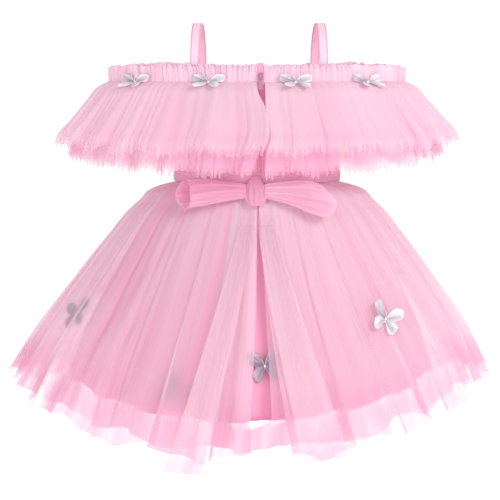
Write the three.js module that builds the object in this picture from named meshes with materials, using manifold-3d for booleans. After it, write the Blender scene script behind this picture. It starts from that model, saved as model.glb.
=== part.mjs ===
// A toddler's party dress in net, filled out as it is when worn, with no wearer in it.
// Millimetres, +Z up. The back of the dress faces -Y and the front faces +Y.
// The origin is the place where the dress is held: midway between the shoulder straps, at the
// height of their undersides. Angles round the dress start at the centre back and grow towards +X.
import * as THREE from "three";
import Module from "manifold-3d";

const wasm = await Module();
wasm.setup();

const { lerp, smoothstep, degToRad } = THREE.MathUtils;
const FULL_TURN = 2 * Math.PI;

// Driving dimensions: cloth
const NET_WALL = 1;
const SATIN_WALL = 1.2;
const SEAM_GAP = 0.3;
const COLUMNS_A_WAVE = 4;

// Driving dimensions: neck casing, a gathered tube of net with elastic inside
const CASING = { halfWidth: 167, halfDepth: 76.5, height: 19, wall: 3, waves: 32, waveDepth: 0.7 };
const CASING_TOP_EDGE = [
  { angle: 0, z: -48.5 },
  { angle: 60, z: -47.5 },
  { angle: 100, z: -46 },
  { angle: 145, z: -40.5 },
  { angle: 180, z: -44.5 },
];
const CASING_SHOULDER_ANGLE = 38;
const CASING_BULGE = { from: 0.15, to: 0.85 };

// Driving dimensions: bodice, a close tube from under the arms to the waist
const WAIST = { z: -177.5, halfWidth: 93, halfDepth: 76 };
const BODICE_SECTIONS = [
  { below: 62, halfWidth: 99, halfDepth: 75, squareness: 2.5 },
  { below: 100, halfWidth: 99, halfDepth: 76, squareness: 2.4 },
  { below: 140, halfWidth: 95, halfDepth: 76, squareness: 2.2 },
  { below: 178, halfWidth: WAIST.halfWidth, halfDepth: WAIST.halfDepth, squareness: 2.05 },
];
const BODICE_INSIDE_CASING = 3.2;
const BODICE_NEAR_CASING = { from: 0.45, to: 0.8, fade: 2 };
const BODICE_COLUMNS = { back: 12, front: 26 };
const BODICE_TOP_EDGE = [
  { angle: 0, z: -69.5 },
  { angle: 38, z: -69.5 },
  { angle: 62, z: -84 },
  { angle: 90, z: -100 },
  { angle: 118, z: -82 },
  { angle: 140, z: -64 },
  { angle: 180, z: -66 },
];

// Driving dimensions: the two ruffle layers that hang from the casing
const RUFFLE_PROFILE = [
  { fall: 0, spread: 0 },
  { fall: 0.07, spread: 0.17 },
  { fall: 0.28, spread: 0.4 },
  { fall: 0.6, spread: 0.71 },
  { fall: 0.88, spread: 0.96 },
  { fall: 1, spread: 1 },
];
const RUFFLES = {
  upper: {
    out: 1.1, hemHalfWidth: 226, hemHalfDepth: 116, sideHem: -132, backHem: -147,
    tilt: 1, waves: 30, waveDepth: 4.4, seed: 1,
  },
  lower: {
    out: -1.1, hemHalfWidth: 211, hemHalfDepth: 104, sideHem: -145, backHem: -168,
    tilt: 1.5, waves: 28, waveDepth: 3.8, seed: 4,
  },
};
const RUFFLE_HEM_ROUND = 1.2;
const RUFFLE_WAVE = { atSeam: 0.25, growth: 1.3 };
const RUFFLE_TIPS = { height: 3.5, count: 23 };
const RUFFLE_SLITS = {
  upper: [
    { down: 0, middle: 3.5, halfGap: 4.6 },
    { down: 0.14, middle: 4, halfGap: 4 },
    { down: 0.32, middle: 7, halfGap: 0.9 },
    { down: 0.72, middle: 11, halfGap: 0.6 },
    { down: 1, middle: 4.5, halfGap: 2.2 },
  ],
  lower: [
    { down: 0, middle: 3.5, halfGap: 4.6 },
    { down: 0.14, middle: 4, halfGap: 4 },
    { down: 0.32, middle: 6.5, halfGap: 1.2 },
    { down: 0.6, middle: 7, halfGap: 1.8 },
    { down: 1, middle: -0.5, halfGap: 7.5 },
  ],
};

// Driving dimensions: the skirt. Each layer runs from the waist seam to its own hem.
const SKIRT_PROFILE = [
  { fall: 0, side: 0, back: 0 },
  { fall: 0.015, side: 0.075, back: 0.02 },
  { fall: 0.1, side: 0.226, back: 0.115 },
  { fall: 0.28, side: 0.42, back: 0.31 },
  { fall: 0.52, side: 0.64, back: 0.56 },
  { fall: 0.78, side: 0.86, back: 0.82 },
  { fall: 1, side: 1, back: 1 },
];
const SKIRTS = {
  outer: {
    waistOut: 2.4, waistZ: -178.4, hemHalfWidth: 269, hemHalfDepth: 205, sideFall: 216, backFall: 277,
    waves: 38, waveDepth: 6, hemUneven: 5, seed: 2,
  },
  inner: {
    waistOut: 1.2, waistZ: -181.4, hemHalfWidth: 254, hemHalfDepth: 190, sideFall: 207, backFall: 270,
    waves: 28, waveDepth: 4, hemUneven: 4, seed: 5,
  },
  under: {
    waistOut: 0, waistZ: -184.4, hemHalfWidth: 206, hemHalfDepth: 165, sideFall: 208, backFall: 239,
    waves: 16, waveDepth: 3.6, hemUneven: 1.5, seed: 7,
  },
};
const SKIRT_HEM_ROUND = 1.8;
const SKIRT_HEM_TIPS = { count: 17, growth: 3 };
const SKIRT_SWAY = { reach: -9, growth: 1.3 };
const SKIRT_TILT = 3;
const SKIRT_WAVE = { atWaist: 0.35, growth: 1.5 };
const NET_SLITS = {
  outer: { atWaist: 0.2, left: 10, leftCurve: 2.5, right: 45, rightCurve: 1.4 },
  inner: { atWaist: 0.2, left: 8, leftCurve: 2, right: 24, rightCurve: 1.2 },
};

// Driving dimensions: sash and bow
const SASH = { topZ: -165.5, bottomZ: -176.6, out: 2, waves: 16, waveDepth: 0.5 };
const KNOT = { x: -2, y: -89.5, z: -185, halfWidth: 9.5, halfDepth: 6, halfHeight: 16, lean: 0.5 };
const BOW_LOOPS = {
  left: {
    side: -1, length: 78, drop: 4, lean: -3, rimSlant: 0.22,
    sections: [
      { along: 0, halfHeight: 7, halfDepth: 3.4 },
      { along: 0.3, halfHeight: 10, halfDepth: 6 },
      { along: 0.65, halfHeight: 13.5, halfDepth: 9 },
      { along: 1, halfHeight: 15, halfDepth: 9.5 },
    ],
  },
  right: {
    side: 1, length: 79, drop: 14, lean: -2, rimSlant: 0,
    sections: [
      { along: 0, halfHeight: 7, halfDepth: 3.4 },
      { along: 0.3, halfHeight: 11, halfDepth: 6 },
      { along: 0.7, halfHeight: 16.5, halfDepth: 7 },
      { along: 0.92, halfHeight: 15.5, halfDepth: 5 },
      { along: 1, halfHeight: 12.5, halfDepth: 4 },
    ],
  },
};
const BOW_TAILS = {
  left: { startX: -8.5, endX: -76, startWidth: 12, endWidth: 36, past: 0.07 },
  right: { startX: 6.5, endX: 70, startWidth: 12, endWidth: 46, past: 0.03 },
};
const TAIL = {
  start: 0.1, widening: 0.7, spreading: 1.15, folds: 1.5, foldDepth: 1.4,
  clearAtKnot: 2.6, clearAtHem: 7, clearing: 1.5,
};

// Driving dimensions: straps
const STRAP = {
  width: 10, wall: 1.2, shift: 2, backX: 71, frontX: 66, frontAngle: 145, sewnDown: 9, squareness: 2.3,
};

// Driving dimensions: back zip
const ZIP = { x: 3.5, tapeWidth: 3.2, wall: 1.2 };
const ZIP_LINE = [
  { down: 0, z: -46.5, y: -77 },
  { down: 0.15, z: -66, y: -77 },
  { down: 0.3, z: -86, y: -75.4 },
  { down: 1, z: -176.8, y: -76 },
];
const SLIDER = {
  width: 5.4, height: 9, thickness: 2, topZ: -57, y: -80.2, shoulder: 0.45, footInset: 0.9,
  bridgeWidth: 1.4, bridgeReach: 3.6, bridgeLength: 6, bridgeWall: 1, bridgeCorner: 0.8,
  bridgeBelowTop: 1, bridgeSunk: 0.5,
};
const TAB = {
  width: 4.6, length: 14.4, thickness: 0.8, bar: 0.9, slotWidth: 2.2, slotLength: 3.2,
  topHalf: 1.7, neckHalf: 1.9, neckBelowSlot: 1, widestAt: 0.62, curveSegments: 8,
};

// Driving dimensions: butterflies, half an outline each, from the top of the body round to its foot
const WINGS = {
  neck: [
    { x: 0, y: 1.5 },
    { x: 5, y: 7 },
    { x: 11, y: 9 },
    { x: 16, y: 7 },
    { x: 15, y: 2 },
    { x: 9.5, y: -1.5 },
    { x: 12, y: -6 },
    { x: 9, y: -9 },
    { x: 4, y: -7 },
    { x: 0, y: -2 },
  ],
  skirt: [
    { x: 0, y: 2 },
    { x: 3.5, y: 10 },
    { x: 9, y: 15 },
    { x: 15, y: 13.5 },
    { x: 15.5, y: 6 },
    { x: 9, y: 0 },
    { x: 12.5, y: -6 },
    { x: 10, y: -13.5 },
    { x: 5, y: -13 },
    { x: 0, y: -3 },
  ],
};
const WING_WALL = 1;
const NECK_BUTTERFLIES = [
  { name: "back_1", angle: -51.5 },
  { name: "back_2", angle: -18 },
  { name: "back_3", angle: 14 },
  { name: "back_4", angle: 45 },
  { name: "front_1", angle: 126 },
  { name: "front_2", angle: 162 },
  { name: "front_3", angle: 198 },
  { name: "front_4", angle: 234 },
];
const SKIRT_BUTTERFLIES = [
  { name: "back_1", on: "inner", angle: -65, down: 0.64, turn: 20, lift: 0.05 },
  { name: "back_2", on: "under", angle: -23, down: 0.9, turn: -35, lift: 0.1 },
  { name: "back_3", on: "under", angle: 4.8, down: 0.77, turn: 8, lift: 0.1 },
  { name: "back_4", on: "outer", angle: 40.5, down: 0.575, turn: -28, lift: 0.35 },
  { name: "front_1", on: "outer", angle: 128, down: 0.5, turn: 25, lift: 0.35 },
  { name: "front_2", on: "under", angle: 158, down: 0.8, turn: -20, lift: 0.1 },
  { name: "front_3", on: "outer", angle: 193, down: 0.66, turn: 15, lift: 0.35 },
  { name: "front_4", on: "outer", angle: 236, down: 0.55, turn: -30, lift: 0.35 },
];

// Finishes
const FINISH = {
  net: new THREE.MeshStandardMaterial({ color: 0xf2b3cf, roughness: 0.75, metalness: 0 }),
  netPale: new THREE.MeshStandardMaterial({ color: 0xf7c6dc, roughness: 0.75, metalness: 0 }),
  satin: new THREE.MeshStandardMaterial({ color: 0xec9fc0, roughness: 0.55, metalness: 0 }),
  elastic: new THREE.MeshStandardMaterial({ color: 0xf5b9d3, roughness: 0.7, metalness: 0 }),
  tape: new THREE.MeshStandardMaterial({ color: 0xe795b8, roughness: 0.8, metalness: 0 }),
  metal: new THREE.MeshStandardMaterial({ color: 0xb98ba0, roughness: 0.3, metalness: 0.9 }),
  wing: new THREE.MeshStandardMaterial({ color: 0xeae4ea, roughness: 0.35, metalness: 0 }),
};

// Tables: a smooth step between two rows, or a straight one
function lookUp(table, key, column, at, eased = false) {
  const last = table.length - 1;
  if (at <= table[0][key]) return table[0][column];
  if (at >= table[last][key]) return table[last][column];
  const next = table.findIndex((row) => row[key] >= at);
  const from = table[next - 1];
  const to = table[next];
  const share = (at - from[key]) / (to[key] - from[key]);
  const step = eased ? share * share * (3 - 2 * share) : share;
  return lerp(from[column], to[column], step);
}

// Degrees away from the centre back, on either side, between 0 and 180
function degreesFromBack(angle) {
  return THREE.MathUtils.radToDeg(Math.acos(Math.cos(angle)));
}

// A point of a plan section: a round one, or a squarer one where the squareness is over 2
function planPoint(angle, halfWidth, halfDepth, z, squareness = 2) {
  const power = 2 / squareness;
  const across = Math.sign(Math.sin(angle)) * Math.abs(Math.sin(angle)) ** power;
  const back = Math.sign(Math.cos(angle)) * Math.abs(Math.cos(angle)) ** power;
  return new THREE.Vector3(halfWidth * across, -halfDepth * back, z);
}

// Gathers aren't even: their spacing and their depth wander along the seam
const SPACING_WANDER = [
  { times: 3, amount: 0.12, phase: 1 },
  { times: 8, amount: 0.2, phase: 2 },
];
const DEPTH_WANDER = [
  { times: 5, amount: 0.22, phase: 1 },
  { times: 11, amount: 0.18, phase: 3 },
];

function wander({ times, amount, phase }, share, seed) {
  return amount * Math.sin(FULL_TURN * times * share + phase * seed);
}

function unevenSpacing(share, seed) {
  const shifts = SPACING_WANDER.map((row) => (wander(row, share, seed) - wander(row, 0, seed)) / row.times);
  return share + (shifts[0] + shifts[1]) / FULL_TURN;
}

function unevenDepth(share, seed) {
  return 1 + wander(DEPTH_WANDER[0], share, seed) + wander(DEPTH_WANDER[1], share, seed);
}

function gather(share, waves) {
  const halfColumn = 0.5 / COLUMNS_A_WAVE;
  return Math.cos(FULL_TURN * (waves * share + halfColumn));
}

// A cloth wall: points of its middle surface on a grid, parted along their normals.
// at(across, down) gives a point; downs lists the rows; a closed wall joins its last column to its first.
function clothWall({ columns, downs, closed, wall, at }) {
  const perRow = closed ? columns : columns + 1;
  const middle = downs.flatMap((down) =>
    Array.from({ length: perRow }, (_, column) => at(column / columns, down))
  );
  const place = (row, column) => row * perRow + (closed ? (column + columns) % columns : column);
  const pick = (row, column) => {
    const safeRow = THREE.MathUtils.clamp(row, 0, downs.length - 1);
    const safeColumn = closed ? column : THREE.MathUtils.clamp(column, 0, columns);
    return middle[place(safeRow, safeColumn)];
  };
  const outer = [];
  const inner = [];
  downs.forEach((_, row) => {
    for (let column = 0; column < perRow; column++) {
      const alongRow = pick(row, column + 1).clone().sub(pick(row, column - 1));
      const downColumn = pick(row + 1, column).clone().sub(pick(row - 1, column));
      const normal = downColumn.cross(alongRow).normalize();
      outer.push(pick(row, column).clone().addScaledVector(normal, wall / 2));
      inner.push(pick(row, column).clone().addScaledVector(normal, -wall / 2));
    }
  });
  const offset = outer.length;
  const faces = [];
  const quad = (a, b, c, d) => faces.push(a, b, c, a, c, d);
  const lastRow = downs.length - 1;
  for (let row = 0; row < lastRow; row++) {
    for (let column = 0; column < columns; column++) {
      const a = place(row, column);
      const b = place(row + 1, column);
      const c = place(row + 1, column + 1);
      const d = place(row, column + 1);
      quad(a, b, c, d);
      quad(d + offset, c + offset, b + offset, a + offset);
    }
  }
  for (let column = 0; column < columns; column++) {
    const topA = place(0, column);
    const topB = place(0, column + 1);
    const hemA = place(lastRow, column);
    const hemB = place(lastRow, column + 1);
    quad(topA, topB, topB + offset, topA + offset);
    quad(hemB, hemA, hemA + offset, hemB + offset);
  }
  if (!closed) {
    for (let row = 0; row < lastRow; row++) {
      const startA = place(row, 0);
      const startB = place(row + 1, 0);
      const endA = place(row, columns);
      const endB = place(row + 1, columns);
      quad(startB, startA, startA + offset, startB + offset);
      quad(endA, endB, endB + offset, endA + offset);
    }
  }
  return meshGeometry([...outer, ...inner], faces);
}

function meshGeometry(points, faces) {
  const geometry = new THREE.BufferGeometry();
  const coordinates = points.flatMap((point) => point.toArray());
  geometry.setAttribute("position", new THREE.Float32BufferAttribute(coordinates, 3));
  geometry.setIndex(faces);
  return geometry;
}

function evenRows(count) {
  return Array.from({ length: count + 1 }, (_, row) => row / count);
}

const dress = new THREE.Group();

function addPiece(name, geometry, finish) {
  const piece = new THREE.Mesh(geometry, finish);
  piece.name = name;
  dress.add(piece);
}

// Neck casing: two back stretches that meet at the zip, and one front stretch with both sleeves
function casingTop(angle) {
  return lookUp(CASING_TOP_EDGE, "angle", "z", degreesFromBack(angle), true);
}

function casingPoint(angle, down, share, waves) {
  const bulge = Math.sin(Math.PI * lerp(CASING_BULGE.from, CASING_BULGE.to, down));
  const wave = CASING.waveDepth * gather(share, waves) * bulge;
  const z = casingTop(angle) - CASING.height * down;
  return planPoint(angle, CASING.halfWidth + wave, CASING.halfDepth + wave, z);
}

function addCasing(name, fromAngle, toAngle, waves) {
  const geometry = clothWall({
    columns: waves * COLUMNS_A_WAVE,
    downs: [0, 0.5, 1],
    closed: false,
    wall: CASING.wall,
    at: (across, down) => casingPoint(lerp(fromAngle, toAngle, across), down, across, waves),
  });
  addPiece(name, geometry, FINISH.netPale);
}

const zipHalf = ZIP.tapeWidth + 1.5 * SEAM_GAP;
const casingSeam = degToRad(CASING_SHOULDER_ANGLE);
const casingSeamGap = SEAM_GAP / 2 / CASING.halfDepth;
const backWaves = Math.round((CASING.waves * CASING_SHOULDER_ANGLE) / 360);
const frontWaves = CASING.waves - 2 * backWaves;
const casingEnds = {
  zipRight: (ZIP.x + zipHalf) / CASING.halfWidth,
  backRight: casingSeam - casingSeamGap,
  frontRight: casingSeam + casingSeamGap,
  frontLeft: FULL_TURN - casingSeam - casingSeamGap,
  backLeft: FULL_TURN - casingSeam + casingSeamGap,
  zipLeft: FULL_TURN + (ZIP.x - zipHalf) / CASING.halfWidth,
};
addCasing("neck_casing_back_right", casingEnds.zipRight, casingEnds.backRight, backWaves);
addCasing("neck_casing_front", casingEnds.frontRight, casingEnds.frontLeft, frontWaves);
addCasing("neck_casing_back_left", casingEnds.backLeft, casingEnds.zipLeft, backWaves);

// Ruffle layers: gathered into the seam under the casing, open at the centre back
function ruffleHalfWidth(layer, down) {
  const spread = lookUp(RUFFLE_PROFILE, "fall", "spread", down);
  return lerp(CASING.halfWidth + layer.out, layer.hemHalfWidth, spread);
}

function ruffleMean(layer, angle, down) {
  const spread = lookUp(RUFFLE_PROFILE, "fall", "spread", down);
  const topZ = casingTop(angle) - CASING.height - SEAM_GAP - NET_WALL / 2;
  const hemZ = lerp(layer.sideHem, layer.backHem, Math.abs(Math.cos(angle)) ** RUFFLE_HEM_ROUND);
  const halfDepth = lerp(CASING.halfDepth + layer.out, layer.hemHalfDepth, spread);
  const z = lerp(topZ, hemZ, down) + layer.tilt * down * Math.sin(angle);
  return planPoint(angle, ruffleHalfWidth(layer, down), halfDepth, z);
}

function rufflePoint(layer, slit, across, down) {
  const middle = lookUp(slit, "down", "middle", down);
  const halfGap = lookUp(slit, "down", "halfGap", down);
  const halfWidth = ruffleHalfWidth(layer, down);
  const right = (middle + halfGap) / halfWidth;
  const left = (middle - halfGap) / halfWidth;
  const angle = lerp(right, FULL_TURN + left, unevenSpacing(across, layer.seed));
  const mean = ruffleMean(layer, angle, down);
  const depth = lerp(RUFFLE_WAVE.atSeam, layer.waveDepth, down ** RUFFLE_WAVE.growth);
  const wave = depth * unevenDepth(across, layer.seed) * gather(across, layer.waves);
  const tip = Math.sin(FULL_TURN * RUFFLE_TIPS.count * across + layer.seed);
  const tips = RUFFLE_TIPS.height * down * tip;
  const outward = new THREE.Vector3(mean.x, mean.y, 0).normalize();
  return mean.addScaledVector(outward, wave).add(new THREE.Vector3(0, 0, tips));
}

for (const [name, layer] of Object.entries(RUFFLES)) {
  const geometry = clothWall({
    columns: layer.waves * COLUMNS_A_WAVE,
    downs: name === "upper" ? [0, 0.07, 0.28, 0.6, 1] : [0, 0.28, 0.6, 1],
    closed: false,
    wall: NET_WALL,
    at: (across, down) => rufflePoint(layer, RUFFLE_SLITS[name], across, down),
  });
  addPiece(`ruffle_${name}`, geometry, FINISH.netPale);
}

// Bodice: a front and two backs. Its top follows the casing at the front and back, and dips under the arms.
function bodiceSection(z) {
  const column = (name) => lookUp(BODICE_SECTIONS, "below", name, -z);
  return {
    halfWidth: column("halfWidth"),
    halfDepth: column("halfDepth"),
    squareness: column("squareness"),
  };
}

function bodiceHeight(angle, down) {
  return lerp(lookUp(BODICE_TOP_EDGE, "angle", "z", degreesFromBack(angle), true), WAIST.z, down);
}

function bodicePoint(angle, down) {
  const z = bodiceHeight(angle, down);
  const section = bodiceSection(z);
  const point = planPoint(angle, section.halfWidth, section.halfDepth, z, section.squareness);
  const { from, to, fade } = BODICE_NEAR_CASING;
  const towardsCasing = (1 - down) ** fade * smoothstep(Math.abs(Math.cos(angle)), from, to);
  const narrowing = Math.sqrt(1 - (point.x / CASING.halfWidth) ** 2);
  const casingDepth = (CASING.halfDepth - BODICE_INSIDE_CASING) * narrowing;
  point.y = lerp(point.y, -Math.sign(Math.cos(angle)) * casingDepth, towardsCasing);
  return point;
}

// The angle at which the bodice reaches a distance x from its middle, near the centre back
function bodiceAngleAt(x, down) {
  const section = bodiceSection(bodiceHeight(0, down));
  return Math.sign(x) * Math.asin((Math.abs(x) / section.halfWidth) ** (section.squareness / 2));
}

function addBodicePanel(name, columns, fromAngle, toAngle) {
  const geometry = clothWall({
    columns,
    downs: [0, 0.2, 0.5, 1],
    closed: false,
    wall: SATIN_WALL,
    at: (across, down) => bodicePoint(lerp(fromAngle(down), toAngle(down), across), down),
  });
  addPiece(name, geometry, FINISH.satin);
}

const QUARTER_TURN = FULL_TURN / 4;
const bodiceSeamGap = SEAM_GAP / 2 / WAIST.halfDepth;
const sideSeam = (quarters, side) => () => quarters * QUARTER_TURN + side * bodiceSeamGap;
const rightOfZip = (down) => bodiceAngleAt(ZIP.x + zipHalf, down);
const leftOfZip = (down) => FULL_TURN + bodiceAngleAt(ZIP.x - zipHalf, down);
addBodicePanel("bodice_back_right", BODICE_COLUMNS.back, rightOfZip, sideSeam(1, -1));
addBodicePanel("bodice_front", BODICE_COLUMNS.front, sideSeam(1, 1), sideSeam(3, -1));
addBodicePanel("bodice_back_left", BODICE_COLUMNS.back, sideSeam(3, 1), leftOfZip);

// Skirt layers. The mean surface has no gathers; the wall's own points add them.
function skirtSway(down) {
  return SKIRT_SWAY.reach * down ** SKIRT_SWAY.growth;
}

function skirtMean(layer, angle, down) {
  const side = lookUp(SKIRT_PROFILE, "fall", "side", down);
  const back = lookUp(SKIRT_PROFILE, "fall", "back", down);
  const halfWidth = lerp(WAIST.halfWidth + layer.waistOut, layer.hemHalfWidth, side);
  const halfDepth = lerp(WAIST.halfDepth + layer.waistOut, layer.hemHalfDepth, back);
  const roundHem = Math.abs(Math.cos(angle)) ** SKIRT_HEM_ROUND;
  const hemFall = lerp(layer.sideFall, layer.backFall, roundHem) - SKIRT_TILT * Math.sin(angle);
  const point = planPoint(angle, halfWidth, halfDepth, layer.waistZ - hemFall * down);
  point.x += skirtSway(down);
  return point;
}

function skirtNormal(layer, angle, down) {
  const small = 0.01;
  const along = skirtMean(layer, angle + small, down).sub(skirtMean(layer, angle - small, down));
  const fall = skirtMean(layer, angle, down + small).sub(skirtMean(layer, angle, down - small));
  return fall.cross(along).normalize();
}

function skirtWaveDepth(layer, across, down) {
  const depth = lerp(SKIRT_WAVE.atWaist, layer.waveDepth, down ** SKIRT_WAVE.growth);
  return depth * unevenDepth(across, layer.seed);
}

function skirtPoint(layer, slit, across, down) {
  const spaced = unevenSpacing(across, layer.seed);
  const opening = (gap, curve) => {
    const closedAngle = slit.atWaist / WAIST.halfWidth;
    return lerp(closedAngle, gap / layer.hemHalfWidth, down ** curve);
  };
  const right = slit ? opening(slit.right, slit.rightCurve) : 0;
  const left = slit ? opening(slit.left, slit.leftCurve) : 0;
  const angle = lerp(right, FULL_TURN - left, spaced);
  const mean = skirtMean(layer, angle, down);
  const outward = new THREE.Vector3(mean.x - skirtSway(down), mean.y, 0).normalize();
  const wave = skirtWaveDepth(layer, across, down) * gather(across, layer.waves);
  const tip = Math.sin(FULL_TURN * SKIRT_HEM_TIPS.count * across + layer.seed);
  const hem = layer.hemUneven * down ** SKIRT_HEM_TIPS.growth * tip;
  return mean.addScaledVector(outward, wave).add(new THREE.Vector3(0, 0, hem));
}

for (const [name, layer] of Object.entries(SKIRTS)) {
  const slit = NET_SLITS[name];
  const everyRow = SKIRT_PROFILE.map((row) => row.fall);
  const fewerRows = [0, 0.1, 0.28, 0.52, 1];
  const geometry = clothWall({
    columns: layer.waves * COLUMNS_A_WAVE,
    downs: name === "outer" ? everyRow : fewerRows,
    closed: !slit,
    wall: name === "under" ? SATIN_WALL : NET_WALL,
    at: (across, down) => skirtPoint(layer, slit, across, down),
  });
  const node = name === "under" ? "skirt_under" : `skirt_net_${name}`;
  addPiece(node, geometry, name === "under" ? FINISH.satin : FINISH.net);
}

// Sash round the waist
const sash = clothWall({
  columns: SASH.waves * 2,
  downs: [0, 0.5, 1],
  closed: true,
  wall: NET_WALL,
  at: (across, down) => {
    const angle = FULL_TURN * across;
    const z = lerp(SASH.topZ, SASH.bottomZ, down);
    const wave = SASH.waveDepth * Math.sin(Math.PI * down) * Math.abs(gather(across, SASH.waves));
    const section = bodiceSection(z);
    const out = SASH.out + wave;
    return planPoint(angle, section.halfWidth + out, section.halfDepth + out, z, section.squareness);
  },
});
addPiece("sash_belt", sash, FINISH.net);

// Bow: a knot, two hollow loops and two tails
const knot = new THREE.SphereGeometry(1, 12, 8);
knot.scale(KNOT.halfWidth, KNOT.halfDepth, KNOT.halfHeight);
knot.applyMatrix4(new THREE.Matrix4().makeShear(0, 0, 0, 0, 0, KNOT.lean));
knot.translate(KNOT.x, KNOT.y, KNOT.z);
addPiece("bow_knot", weldedGeometry(knot), FINISH.netPale);

function addBowLoop(name, loop) {
  const startX = KNOT.x + loop.side * (KNOT.halfWidth + SEAM_GAP);
  const rows = name === "left" ? [0, 0.3, 0.65, 1] : [0, 0.3, 0.7, 0.92, 1];
  const geometry = clothWall({
    columns: 16,
    downs: rows,
    closed: true,
    wall: NET_WALL,
    at: (across, down) => {
      const turn = -loop.side * FULL_TURN * across;
      const halfHeight = lookUp(loop.sections, "along", "halfHeight", down);
      const halfDepth = lookUp(loop.sections, "along", "halfDepth", down);
      const towardsViewer = Math.cos(turn);
      const reach = down * (1 - loop.rimSlant * Math.max(0, towardsViewer) * down);
      const x = startX + loop.side * loop.length * reach;
      const z = KNOT.z + halfHeight * Math.sin(turn) - loop.drop * down * down;
      const y = KNOT.y - halfDepth * towardsViewer - loop.lean * down + KNOT.lean * (z - KNOT.z);
      return new THREE.Vector3(x, y, z);
    },
  });
  addPiece(`bow_loop_${name}`, geometry, FINISH.netPale);
}

function tailPoint(tail, across, down) {
  const reach = lerp(TAIL.start, 1 + tail.past, down);
  const width = lerp(tail.startWidth, tail.endWidth, down ** TAIL.widening);
  const middle = lerp(tail.startX, tail.endX, down ** TAIL.spreading);
  const x = middle + (across - 0.5) * width;
  const layer = SKIRTS.outer;
  const side = lookUp(SKIRT_PROFILE, "fall", "side", reach);
  const halfWidth = lerp(WAIST.halfWidth, layer.hemHalfWidth, side);
  const angle = Math.asin((x - skirtSway(Math.min(reach, 1))) / halfWidth);
  const point = skirtMean(layer, angle, Math.min(reach, 1));
  const past = Math.max(0, reach - 1);
  point.z -= past * layer.backFall;
  const fold = TAIL.foldDepth * down * Math.cos(FULL_TURN * TAIL.folds * across);
  const clear = TAIL.clearAtKnot + TAIL.clearAtHem * down ** TAIL.clearing + fold;
  return point.addScaledVector(skirtNormal(layer, angle, Math.min(reach, 0.98)), clear);
}

for (const [name, loop] of Object.entries(BOW_LOOPS)) addBowLoop(name, loop);
for (const [name, tail] of Object.entries(BOW_TAILS)) {
  const geometry = clothWall({
    columns: 6,
    downs: evenRows(9),
    closed: false,
    wall: NET_WALL,
    at: (across, down) => tailPoint(tail, across, down),
  });
  addPiece(`bow_tail_${name}`, geometry, FINISH.netPale);
}

// Straps: flat elastic arches, sewn inside the casing at the back and at the front
function strapPoint(side, across, along) {
  const inside = CASING.wall / 2 + CASING.waveDepth + SEAM_GAP + STRAP.wall / 2;
  const casingDepth = (x) => {
    const narrowing = Math.sqrt(1 - (x / (CASING.halfWidth - inside)) ** 2);
    return (CASING.halfDepth - inside) * narrowing;
  };
  const backFoot = casingTop(0) - STRAP.sewnDown;
  const frontFoot = casingTop(degToRad(STRAP.frontAngle)) - STRAP.sewnDown;
  const turn = Math.PI * along;
  const power = 2 / STRAP.squareness;
  const forward = -Math.sign(Math.cos(turn)) * Math.abs(Math.cos(turn)) ** power;
  const rise = Math.sin(turn) ** power;
  const middleX = lerp(STRAP.backX, STRAP.frontX, along);
  const foot = lerp(backFoot, frontFoot, along);
  const x = STRAP.shift + side * (middleX + (across - 0.5) * STRAP.width);
  const y = forward * casingDepth(middleX + STRAP.width / 2 + STRAP.shift);
  return new THREE.Vector3(x, y, lerp(foot, STRAP.wall / 2, rise));
}

for (const [name, side] of [["left", -1], ["right", 1]]) {
  const geometry = clothWall({
    columns: 1,
    downs: evenRows(22),
    closed: false,
    wall: STRAP.wall,
    at: (across, along) => strapPoint(side, across, along),
  });
  addPiece(`strap_${name}`, geometry, FINISH.elastic);
}

// Zip: two tapes in the centre back opening, the slider at the top and its pull tab
for (const [name, side] of [["left", -1], ["right", 1]]) {
  const middleX = ZIP.x + side * (ZIP.tapeWidth / 2 + SEAM_GAP / 2);
  const tape = clothWall({
    columns: 1,
    downs: ZIP_LINE.map((row) => row.down),
    closed: false,
    wall: ZIP.wall,
    at: (across, down) => new THREE.Vector3(
      middleX + (across - 0.5) * ZIP.tapeWidth,
      lookUp(ZIP_LINE, "down", "y", down),
      lookUp(ZIP_LINE, "down", "z", down)
    ),
  });
  addPiece(`zip_tape_${name}`, tape, FINISH.tape);
}

// Vertices shared by touching faces, from the positions alone
function weldedGeometry(geometry) {
  const source = geometry.index ? geometry.toNonIndexed() : geometry;
  const position = source.getAttribute("position");
  const places = new Map();
  const points = [];
  const faces = [];
  for (let i = 0; i < position.count; i++) {
    const point = new THREE.Vector3().fromBufferAttribute(position, i);
    const key = point.toArray().map((value) => Math.round(value * 1e4)).join(" ");
    if (!places.has(key)) {
      places.set(key, points.length);
      points.push(point);
    }
    faces.push(places.get(key));
  }
  const kept = [];
  for (let i = 0; i < faces.length; i += 3) {
    const [a, b, c] = faces.slice(i, i + 3);
    if (a !== b && b !== c && c !== a) kept.push(a, b, c);
  }
  return meshGeometry(points, kept);
}

function toSolid(geometry) {
  const welded = weldedGeometry(geometry);
  return new wasm.Manifold(new wasm.Mesh({
    numProp: 3,
    vertProperties: new Float32Array(welded.getAttribute("position").array),
    triVerts: new Uint32Array(welded.index.array),
  }));
}

function fromSolid(solid) {
  const mesh = solid.getMesh();
  const geometry = new THREE.BufferGeometry();
  geometry.setAttribute("position", new THREE.BufferAttribute(new Float32Array(mesh.vertProperties), 3));
  geometry.setIndex(new THREE.BufferAttribute(new Uint32Array(mesh.triVerts), 1));
  return geometry;
}

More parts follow.
